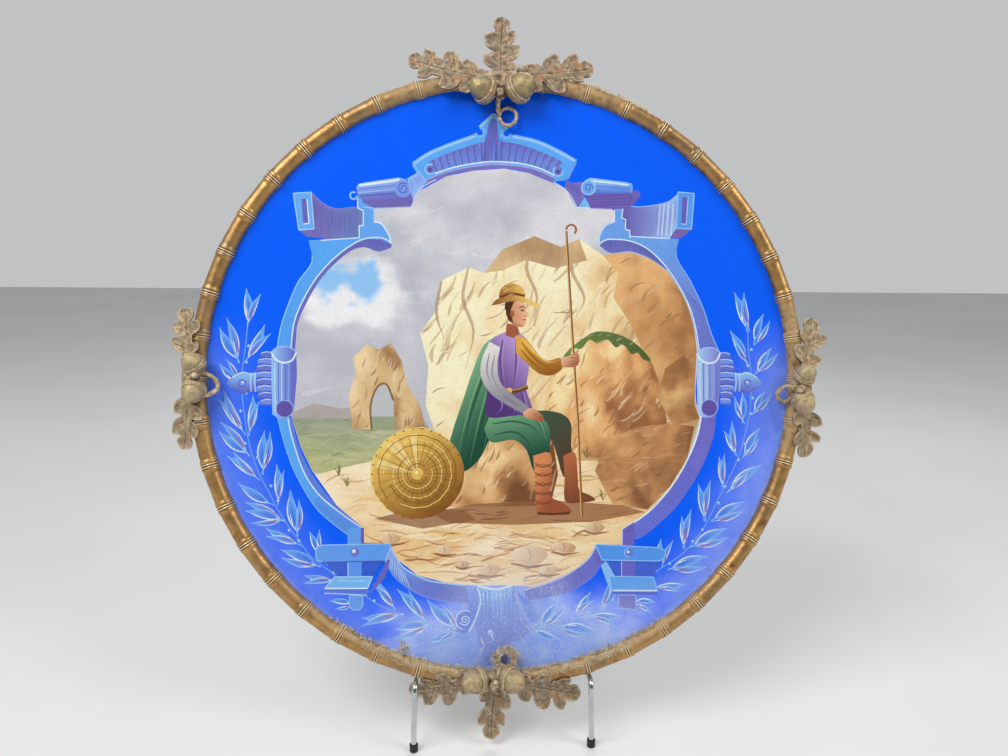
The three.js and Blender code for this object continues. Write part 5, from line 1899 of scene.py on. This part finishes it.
def cloak():
    """The cloak behind, from the shoulders down over the stone."""
    outline = curved([(-2, 34), (-14, 26), (-22, 8), (-30, -16), (-38, -40), (-42, -62), (-30, -70),
                      (-16, -58), (-6, -34), (4, -8), (8, 14)], 4)
    area(outline, toward(GREEN_LIGHT, GREEN_DARK, (-34, 0), (0, -30)))
    bends = ([(-4, 30), (-14, 4), (-24, -26), (-32, -62)], [(0, 24), (-8, -4), (-16, -34), (-22, -62)],
             [(4, 12), (-2, -14), (-8, -36), (-12, -54)])
    folds(bends, 2.4, GREEN_DARK, 0.7, GREEN_LIGHT, -2.6, 1.2)


def legs():
    """The far leg, then the near one with its laced shin."""
    far_leg = curved([(10, -30), (26, -24), (44, -26), (52, -34), (52, -50), (54, -72), (46, -74), (40, -54),
                      (34, -44), (12, -46)], 3)
    area(far_leg, toward((92, 60, 44), (60, 92, 70), (52, -70), (20, -30)))
    area(curved([(46, -58), (55, -56), (57, -74), (58, -84), (66, -88), (70, -92), (56, -94), (47, -92),
                 (47, -76)], 3), toward((186, 108, 66), (126, 70, 44), (48, -60), (64, -92)))
    near_leg = curved([(-10, -28), (6, -22), (22, -24), (34, -34), (36, -48), (34, -66), (24, -70), (18, -54),
                       (8, -46), (-8, -48), (-14, -38)], 4)
    area(near_leg, toward(GREEN_LIGHT, GREEN_DARK, (6, -22), (14, -60)))
    bends = ([(-8, -34), (8, -32), (22, -36), (30, -46)], [(-6, -42), (8, -40), (18, -46), (24, -58)],
             [(10, -26), (24, -30), (32, -42)])
    folds(bends, 1.6, GREEN_DARK, 0.65)
    swept([(0, -25), (16, -25), (28, -33), (33, -46)], 4, 1.8, GREEN_LIGHT, 0.7, pointed=True)
    shin = curved([(23, -58), (36, -56), (37, -72), (36, -88), (44, -93), (51, -98), (50, -102), (32, -102),
                   (25, -99), (25, -80)], 3)
    area(shin, toward((224, 142, 92), (160, 86, 54), (24, -76), (40, -84)))
    for y in (-64, -71, -78, -85, -92):
        swept([(24.5, y), (30, y - 2.6), (37, y - 0.5)], 3, 1.0, (116, 64, 42), 0.8)
        swept([(24.5, y - 3), (30, y - 0.6), (37, y - 3.2)], 3, 0.8, (130, 76, 50), 0.7)
    stroke([(26, -101.6), (38, -102.2), (50.5, -101.6)], 1.6, (92, 54, 36))


def tunic_and_belt():
    """A purple tunic with a leather belt."""
    tunic = curved([(-6, 32), (4, 36), (14, 34), (20, 26), (20, 10), (18, -8), (22, -24), (6, -28),
                    (-12, -28), (-12, -10), (-10, 12), (-12, 24)], 4)
    area(tunic, toward(PURPLE_LIGHT, PURPLE_DARK, (16, 20), (-12, -6)))
    bends = ([(0, 30), (-2, 14), (0, -6)], [(10, 30), (10, 12), (8, -6)], [(-6, -12), (-2, -20), (-6, -27)],
             [(6, -12), (8, -20), (6, -27)], [(14, -10), (16, -18), (18, -24)])
    folds(bends, 1.4, PURPLE_DARK, 0.65, PURPLE_LIGHT, 1.8, 0.9)
    swept([(-12, -6), (-2, -9), (10, -9), (19, -6)], 4, 3.2, (110, 66, 40))
    swept([(-12, -5), (-2, -8), (10, -8), (19, -5)], 4, 0.8, (206, 152, 88))
    disc(5, -8.6, 2.2, (232, 186, 84), count=10)


def head():
    """The neck and the head, turned to the right and a little down."""
    area([(2, 33), (3, 42), (11, 41), (13, 34), (8, 31)], SKIN_SHADE)
    face = [(3, 57), (2.4, 50), (4, 44.5), (8, 41), (12, 39.2), (15.4, 39.2), (17.2, 40.8), (17.4, 42.6),
            (17.0, 43.6), (18.1, 44.6), (18.0, 45.6), (17.9, 46.6), (20.0, 47.8), (19.0, 50.0),
            (17.4, 52.6), (17.6, 54.6), (16.6, 58.6), (10, 62)]
    area(face, toward(SKIN, SKIN_LIGHT, (5, 48), (17, 50)))
    area([(2.6, 56), (2.4, 49), (4.4, 44.5), (8, 42), (7, 47), (6, 52)], (92, 54, 32))
    area([(2, 60), (1.4, 53), (4, 49.4), (6, 52), (8, 57), (10, 61)], (84, 48, 28))
    disc(7.2, 49.4, 1.7, SKIN_SHADE, count=10, squash=1.5)
    swept([(12.4, 53.8), (14.6, 54.8), (16.6, 54.2)], 3, 0.8, (84, 48, 28), 0.9)
    swept([(13.2, 51.6), (14.8, 52.5), (16.2, 51.6)], 3, 0.7, (76, 42, 28), 0.95)
    disc(15.2, 51.5, 0.6, (52, 36, 30), count=6)
    swept([(15.0, 44.7), (16.4, 44.9), (17.6, 44.6)], 3, 0.7, (150, 68, 54), 0.9)
    swept([(17.8, 47.2), (17.0, 47.4), (16.6, 48.4)], 3, 0.6, SKIN_SHADE, 0.8)
    swept([(8.4, 42.6), (12, 40.6), (15, 40.4)], 3, 1.4, SKIN_SHADE, 0.5)
    disc(12.6, 47.4, 2.4, (232, 142, 106), 0.4, count=10)


def straw_hat():
    """A broad straw hat with a dark band."""
    brim = curved([(-9, 55.5), (-4, 60.5), (6, 63), (17, 61.4), (27, 56), (24, 54.4), (16, 57.6), (6, 58.6),
                   (-3, 56.4)], 4)
    crown = curved([(-3, 59), (-2, 67), (3, 71.6), (10, 72), (15, 68.6), (17, 61.6), (7, 62.4)], 4)
    area(crown, toward((232, 186, 96), (162, 106, 48), (12, 70), (-2, 62)))
    area(brim, toward((240, 200, 116), (150, 96, 44), (20, 60), (-6, 56)))
    swept([(-2, 61.6), (6, 64.6), (16.6, 63)], 4, 1.8, (122, 62, 44))
    brushwork(crown, 26, 12, 6, 0.7, [(146, 94, 42), (250, 220, 150)], 63, 0.6)
    brushwork(brim, 24, 6, 6, 0.6, [(146, 94, 42), (250, 220, 150)], 64, 0.6)


def staff_and_sleeve():
    """The hooked staff, the sleeve and the hand that holds it."""
    stroke([(60, -104), (57, -30), (52.5, 40), (48, 112)], 1.9, (168, 110, 62))
    stroke([(59.4, -104), (56.4, -30), (51.9, 40), (47.5, 112)], 0.6, (236, 186, 120))
    stroke([(60.6, -104), (57.6, -30), (53.1, 40), (48.5, 112)], 0.5, (96, 58, 34))
    ringlet(51.8, 113, 3.8, 1.7, (168, 110, 62), 180, -230)
    sleeve = curved([(10, 33), (18, 30), (26, 20), (34, 14), (44, 16), (46, 9), (38, 3), (28, 4),
                     (18, 12), (10, 20)], 4)
    area(sleeve, toward((232, 176, 74), (158, 98, 34), (26, 26), (30, 4)))
    bends = ([(14, 28), (22, 18), (32, 10), (42, 11)], [(14, 22), (22, 13), (32, 6)])
    folds(bends, 1.4, (140, 84, 30), 0.75)
    swept([(16, 29), (24, 20.5), (34, 13), (43, 14.5)], 4, 1.3, (250, 214, 130), 0.8, pointed=True)
    area(curved([(44, 16), (50, 17.5), (56, 20), (58.4, 16.5), (57.4, 11), (52, 8.8), (45, 9)], 3),
         toward(SKIN_LIGHT, SKIN_SHADE, (48, 17), (56, 9)))
    for y in (18.4, 15.8, 13.2, 10.8):
        stroke([(51.5, y), (54, y + 0.6), (57.6, y - 0.4)], 0.5, SKIN_SHADE, 0.9)


def near_arm():
    """The near arm, whose hand rests on the knee."""
    arm = curved([(-10, 28), (-16, 14), (-16, 0), (-8, -12), (4, -20), (16, -26), (20, -22), (8, -12),
                  (-2, -2), (-4, 12), (-2, 24)], 4)
    area(arm, toward((236, 232, 226), (150, 146, 158), (-14, 20), (2, -14)))
    bends = ([(-10, 20), (-12, 6), (-8, -6)], [(-6, 18), (-8, 4), (-2, -10)], [(0, -12), (8, -18), (14, -22)])
    folds(bends, 1.1, (124, 120, 138), 0.7)
    area(curved([(15, -26), (20, -22), (26, -24), (31, -29), (30, -32.5), (24, -31), (17, -29)], 3),
         toward(SKIN_LIGHT, SKIN_SHADE, (20, -22), (28, -32)))
    for x in (23.5, 26, 28.5):
        stroke([(x, -25.5), (x + 1.0, -28.5), (x + 0.6, -31.4)], 0.45, SKIN_SHADE, 0.9)


def seated_traveller():
    seat_stone()
    cloak()
    legs()
    tunic_and_belt()
    head()
    straw_hat()
    staff_and_sleeve()
    near_arm()


def round_basket():
    """A shallow woven basket that leans on the stone at the left."""
    x, y, radius = -64.0, -71.0, 35.0
    area([(-96, -104), (-60, -112), (-20, -106), (-30, -98), (-70, -98)], (140, 92, 58), 0.7)

    def straw(px, py):
        turn = math.atan2(py - y, px - x)
        lit = 0.5 + 0.5 * math.cos(turn - 2.2) * clamp(math.hypot(px - x, py - y) / radius)
        return mixed((136, 84, 30), (252, 214, 112),
                     clamp(lit + 0.15 * noise.noise(Vector((px * 0.2, py * 0.2, 3)))))

    disc(x, y, radius, straw, count=40, squash=0.96)
    for turn, wide in ((128, 9), (164, 6), (96, 5)):
        angles = (math.radians(turn - wide), math.radians(turn + wide))
        tips = [(x + 0.9 * radius * math.cos(angle), y + 0.86 * radius * math.sin(angle)) for angle in angles]
        area([(x, y)] + tips, (255, 238, 178), 0.55)
    for step in range(8):
        ringlet(x, y, 4.0 + 3.6 * step, 0.6, (132, 84, 32) if step % 2 else (252, 220, 132), 40 * step, 300)
    for i in range(28):
        angle = 2 * math.pi * i / 28
        near, far = 5.0 + (i % 2) * 4, radius - 3.4
        reaches = (near, (near + far) / 2, far)
        points = [(x + reach * math.cos(angle), y + 0.96 * reach * math.sin(angle)) for reach in reaches]
        stroke(points, 0.55, (126, 78, 30), 0.7, pointed=True)
    ringlet(x, y, radius - 1.4, 3.0, (214, 158, 62), 0, 360)
    ringlet(x, y, radius - 0.2, 0.8, (250, 214, 120), 60, 170)
    ringlet(x, y, radius - 3.0, 0.7, (116, 70, 28), 0, 360)
    for i in range(30):
        right, up = on_circle(radius - 1.4, i, 30)
        disc(x + right, y + up, 0.7, (126, 76, 30), 0.85, count=6)
    disc(x, y, 3.6, (236, 190, 88), count=12)
    disc(x - 0.8, y + 0.8, 1.5, (255, 236, 170), count=8)


def pebble(x, y, size, shade):
    outline = []
    for i in range(8):
        right, up = on_circle(1.0, i, 8)
        reach = size * (1 + 0.45 * noise.noise(Vector((x + right, y + up, 3.3))))
        outline.append((x + reach * right, y + 0.5 * reach * up))
    shadow = [(x - size, y - 0.4 * size), (x, y - 0.62 * size), (x + 1.3 * size, y - 0.45 * size)]
    stroke(shadow, 2.4, (128, 78, 48), 0.7, pointed=True)
    tone = toward((252, 236, 208), shade, (x - size, y + size), (x + size, y - size))
    area(curved(outline + outline[:1], 2), tone)
    crack = [(x - 0.1 * size, y + 0.4 * size), (x + 0.1 * size, y), (x - 0.1 * size, y - 0.4 * size)]
    stroke(crack, 0.8, (150, 98, 62), 0.6, pointed=True)


def foreground():
    for x, y, size, shade in (
        (-84, -119, 8, (196, 140, 92)), (20, -133, 14, (206, 158, 116)), (-10, -143, 9, (204, 150, 102)),
        (-44, -128, 7, (212, 166, 122)), (46, -127, 9, (190, 134, 88)), (34, -144, 7, (200, 150, 106)),
        (-30, -139, 5, (180, 124, 80)), (70, -112, 8, (184, 130, 82)),
    ):
        pebble(x, y, size, shade)
    tussock = random.Random(9)
    for x, y in ((-116, -80), (-122, -72), (76, -92), (64, -60)):
        for _ in range(7):
            lean = tussock.uniform(-5, 5)
            high = tussock.uniform(5, 10)
            stroke([(x, y), (x + lean * 0.4, y + high * 0.6), (x + lean, y + high)], 0.7,
                   (112, 120, 68), 0.85, True)


def paint_everything():
    """The strokes in the order of painting: a later one lies over an earlier one."""
    laurel_spray(LEFT_STEM, LEFT_LEAVES, 3)
    laurel_spray(RIGHT_STEM, RIGHT_LEAVES, 4)
    landscape()
    cliffs()
    boulders()
    seated_traveller()
    round_basket()
    foreground()
    frame_round_picture()


def dish(radius):
    inward = clamp(1 - radius / (PLATE_RADIUS - 14))
    return -DISH_DEPTH * 0.5 * (1 - math.cos(math.pi * min(1.0, inward * 1.35)))


RIM_STEPS = 240
EDGE_RADIUS = PLATE_RADIUS - 1.4
EDGE_TOUCH = 0.05
SAME_POINT = 0.02
CLEAN_CUT = 1e-4
SPOT_SPACING = 3.0
ROW_SHARE = 0.866
FACE_MAP_SHARE = 0.99
BACK_MAP_PLACE = 0.086
BACK_MAP_RADIUS = 0.08
BLUE_EDGE_ROWS = (0, 1)
BARE_FOOT_ROWS = (14, 15, 16)
WHITE_GLAZE = (236, 236, 232)
BISCUIT = (206, 198, 184)
DUST_BEHIND = 0.05


def painted_outlines():
    """The plate's edge and every painted outline, as points and as lists of their numbers."""
    points = [on_circle(EDGE_RADIUS, i, RIM_STEPS) for i in range(RIM_STEPS)]
    outlines = [list(range(RIM_STEPS))]
    for outline, _, _ in painted:
        kept = []
        for spot in outline:
            if not kept or math.dist(points[kept[-1]], spot) > SAME_POINT:
                kept.append(len(points))
                points.append(tuple(spot))
        outlines.append(kept)
    return points, outlines


def scattered_points():
    """Loose rows of points that keep the triangles of the face small and even."""
    dice = random.Random(5)
    points = []
    for row in range(int(2 * PLATE_RADIUS / (SPOT_SPACING * ROW_SHARE))):
        y = -PLATE_RADIUS + (row + 0.5) * SPOT_SPACING * ROW_SHARE
        for column in range(int(2 * PLATE_RADIUS / SPOT_SPACING)):
            x = -PLATE_RADIUS + (column + 0.5 * (row % 2)) * SPOT_SPACING
            x += dice.uniform(-0.5, 0.5)
            if math.hypot(x, y) < EDGE_RADIUS - 2:
                points.append((x, y + dice.uniform(-0.5, 0.5)))
    return points


class Layers:
    """The painted layers over each point of the face, on the blue ground."""

    def __init__(self, flat):
        self.flat = flat
        self.known = {}

    def colour_at(self, index, layer):
        key = (index, layer)
        if key not in self.known:
            colour = painted[layer - 1][1] if layer else COBALT
            self.known[key] = colour(*self.flat[index]) if callable(colour) else colour
        return self.known[key]

    def corner(self, index, layers):
        """The colour of a corner, and 1 in place of 0 where anything is painted over the ground."""
        tone = self.colour_at(index, 0)
        for layer in layers:
            tone = mixed(tone, self.colour_at(index, layer), painted[layer - 1][2])
        return linear(tone) + (1.0 if layers else 0.0,)


def painted_face():
    """The flat front: its points, its triangles and the colour of each corner."""
    points, outlines = painted_outlines()
    points += scattered_points()
    cut = delaunay_2d_cdt([Vector(spot) for spot in points], [], outlines, 1, CLEAN_CUT, True)
    flat, _, triangles, _, _, belongs = cut
    layered = Layers(flat)
    faces = []
    colours = []
    for triangle, numbers in zip(triangles, belongs):
        layers = sorted(set(numbers) - {0})
        corners = list(triangle)
        a, b, c = (flat[index] for index in corners)
        if (b - a).cross(c - a) < 0:
            corners.reverse()
        faces.append(tuple(corners))
        colours += [layered.corner(index, layers) for index in corners]
    return flat, faces, colours


def edge_of(flat):
    """The numbers of the face's outermost points, in order round the rim."""
    found = {}
    for index, (x, y) in enumerate(flat):
        if math.hypot(x, y) > EDGE_RADIUS - EDGE_TOUCH:
            found[round(math.atan2(y, x) / (2 * math.pi) * RIM_STEPS) % RIM_STEPS] = index
    return [found[i] for i in range(RIM_STEPS)]


def turned_profile():
    """Radius and height from the painted edge, by the rim and the foot ring, to the middle of the back."""
    foot = -DISH_DEPTH - BODY_THICKNESS
    outer, inner = FOOT_RING_RADIUS + FOOT_RING_WIDTH / 2, FOOT_RING_RADIUS - FOOT_RING_WIDTH / 2
    return [(220.2, -0.02), (220.7, -0.25), (PLATE_RADIUS, -0.8), (PLATE_RADIUS, -2.6),
            (PLATE_RADIUS - 0.3, -4.1), (PLATE_RADIUS - 1.2, -RIM_THICKNESS), (205, -5.4),
            (185, dish(185) - BODY_THICKNESS), (160, -10.2), (140, -11.4), (outer + 2, foot + 0.4),
            (outer + 0.6, foot - 0.4), (outer, foot - 3.6), (outer - 0.8, foot - 4.8),
            (outer - 1.6, foot - FOOT_RING_HEIGHT), (inner + 1.6, foot - FOOT_RING_HEIGHT),
            (inner + 0.8, foot - 4.8), (inner, foot - 3.6), (inner - 0.6, foot - 0.6), (inner - 2, foot),
            (80, foot), (40, foot), (0, foot)]


class PlateBody:
    """The plate's faces, each corner with its colour and its place on the map."""

    def __init__(self):
        flat, self.faces, self.colours = painted_face()
        self.spots = [(x, y, dish(math.hypot(x, y))) for x, y in flat]
        self.profile = turned_profile()
        across = FACE_MAP_SHARE / (2 * EDGE_RADIUS)
        corners = [flat[index] for face in self.faces for index in face]
        self.places = [(0.5 + x * across, 0.5 + y * across) for x, y in corners]
        self.walked = [0.0]
        for (radius, height), (before, lower) in zip(self.profile, [(EDGE_RADIUS, 0.0)] + self.profile):
            self.walked.append(self.walked[-1] + math.hypot(radius - before, height - lower))
        self.turn_back(edge_of(flat))

    def on_map(self, row, i):
        """The back lies in a corner of the map, as rings that shrink along its profile."""
        reach = BACK_MAP_RADIUS * (1 - self.walked[row] / self.walked[-1])
        right, down = on_circle(reach, i, RIM_STEPS)
        return BACK_MAP_PLACE + right, BACK_MAP_PLACE - down

    def add(self, corners, tone, places):
        self.faces.append(corners)
        self.colours += [tone] * len(corners)
        self.places += [self.on_map(row, i) for row, i in places]

    def turn_back(self, previous):
        """The rim, the foot ring and the back, turned on from the painted face's edge."""
        white, biscuit, blue = (linear(tone) + (1.0,) for tone in (WHITE_GLAZE, BISCUIT, COBALT))
        for row, (radius, height) in enumerate(self.profile[:-1]):
            tone = blue if row in BLUE_EDGE_ROWS else (biscuit if row in BARE_FOOT_ROWS else white)
            first = len(self.spots)
            self.spots += [on_circle(radius, i, RIM_STEPS) + (height,) for i in range(RIM_STEPS)]
            current = list(range(first, first + RIM_STEPS))
            for i in range(RIM_STEPS):
                nxt = (i + 1) % RIM_STEPS
                corners = (previous[i], current[i], current[nxt], previous[nxt])
                self.add(corners, tone, ((row, i), (row + 1, i), (row + 1, i + 1), (row, i + 1)))
            previous = current
        row, middle = len(self.profile) - 1, len(self.spots)
        self.spots.append((0, 0, self.profile[-1][1]))
        for i in range(RIM_STEPS):
            corners = (previous[i], middle, previous[(i + 1) % RIM_STEPS])
            self.add(corners, white, ((row, i), (row + 1, i), (row, i + 1)))

    def mesh(self):
        mesh = mesh_of(self.spots, self.faces)
        paint = mesh.attributes.new("Paint", "FLOAT_COLOR", "CORNER")
        paint.data.foreach_set("color", [channel for colour in self.colours for channel in colour])
        layer = mesh.uv_layers.new(name="OFBake")
        layer.data.foreach_set("uv", [share for place in self.places for share in place])
        give_values(mesh, "Dust", [haze_at(*vertex.co) for vertex in mesh.vertices])
        return mesh


def haze_at(x, y, z):
    """The share of haze on the plate: thick low on the face, thin at its sides and along its lower edge."""
    if z <= -6:
        return DUST_BEHIND
    drift = noise.fractal(Vector((x * 0.02, y * 0.03, 2.2)), 0.9, 2.1, 4)
    reach = math.hypot(x, y)
    low = ease(108, 48, math.hypot(0.74 * (x - 12), y + 218) + 16 * drift)
    low *= blend(1.0, ease(160, 208, reach + 12 * drift), ease(22, 62, abs(x - 4)))
    # A paler haze at the sides, stronger on the right than on the left.
    side = (0.26 if x > 0 else 0.14) * ease(168, 214, reach + 8 * drift) * ease(52, -10, y)
    edge = 0.22 * ease(214, 219.4, reach) * ease(40, -120, y)
    return clamp(max(0.8 * low, side) + edge * (1 - low))


def charger():
    glaze = glazed_enamel()
    paint_everything()
    mesh = PlateBody().mesh()
    mesh.transform(plate_to_world)
    plate = add_piece("painted_charger", mesh, glaze)
    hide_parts("plate")
    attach(plate, "root")


# Setting, light and camera

FLOOR_HALF_SIZE = 3.0


def setting():
    half = FLOOR_HALF_SIZE
    points = [(-half, -half, 0), (half, -half, 0), (half, half, 0), (-half, half, 0)]
    floor = add_piece("studio_floor", mesh_of(points, [(0, 1, 2, 3)]), pale_floor())
    world = bpy.data.worlds.new("studio")
    world.use_nodes = True
    nodes, links = world.node_tree.nodes, world.node_tree.links
    split = nodes.new("ShaderNodeSeparateXYZ")
    links.new(nodes.new("ShaderNodeTexCoord").outputs["Generated"], split.inputs[0])
    shade = nodes.new("ShaderNodeMapRange")
    for name, number in (("From Min", -0.9), ("From Max", 0.5), ("To Min", 0.16), ("To Max", 0.62)):
        shade.inputs[name].default_value = number
    links.new(split.outputs["Y"], shade.inputs["Value"])
    nodes["Background"].inputs["Color"].default_value = (0.86, 0.87, 0.88, 1)
    links.new(shade.outputs["Result"], nodes["Background"].inputs["Strength"])
    bpy.context.scene.world = world


LIGHT_AIM = Vector((0, -0.04, 0.27))


def soft_light(name, place, size, power):
    data = bpy.data.lights.new(name, "AREA")
    data.shape = "RECTANGLE"
    data.size, data.size_y = size
    data.energy = power
    lamp = bpy.data.objects.new(name, data)
    lamp.location = place
    lamp.rotation_euler = (LIGHT_AIM - Vector(place)).to_track_quat("-Z", "Y").to_euler()
    bpy.context.scene.collection.objects.link(lamp)


CAMERA_DISTANCE = 570.0
CAMERA_SIDE = math.radians(3.2)
CAMERA_AIM = (0.675, 0.75, 0.0)
CAMERA_LENS = 27.18
SENSOR_WIDTH = 36.0
NEAREST_SEEN = 0.01


def camera():
    data = bpy.data.cameras.new("view")
    data.lens = CAMERA_LENS
    data.sensor_width = SENSOR_WIDTH
    data.clip_start = NEAREST_SEEN
    off, out = CAMERA_DISTANCE * math.sin(CAMERA_SIDE), CAMERA_DISTANCE * math.cos(CAMERA_SIDE)
    eye = plate_to_world @ Vector((-off, 0, out))
    aim = plate_to_world @ Vector(CAMERA_AIM)
    up = (plate_to_world.to_3x3() @ Vector((0, 1, 0))).normalized()
    back = (eye - aim).normalized()
    right = up.cross(back).normalized()
    up = back.cross(right)
    turn = Matrix((right, up, back)).transposed()
    shot = bpy.data.objects.new("view", data)
    shot.matrix_world = Matrix.Translation(eye) @ turn.to_4x4()
    bpy.context.scene.collection.objects.link(shot)
    bpy.context.scene.camera = shot


setting()
camera()
soft_light("key", (-0.75, -0.75, 1.35), (0.9, 0.7), 15)
soft_light("fill", (1.2, -0.75, 1.2), (0.7, 0.7), 10)
soft_light("back", (0.2, 0.9, 1.2), (0.8, 0.5), 4)

charger()
bamboo_ring()
bronze = leaf_bronze()
for number, (node, spec) in enumerate(MOUNTS.items()):
    leafy_mount(node, spec, bronze, 11.0 * number)
dust_fluff()
easel()

bpy.context.scene.view_settings.view_transform = "Standard"
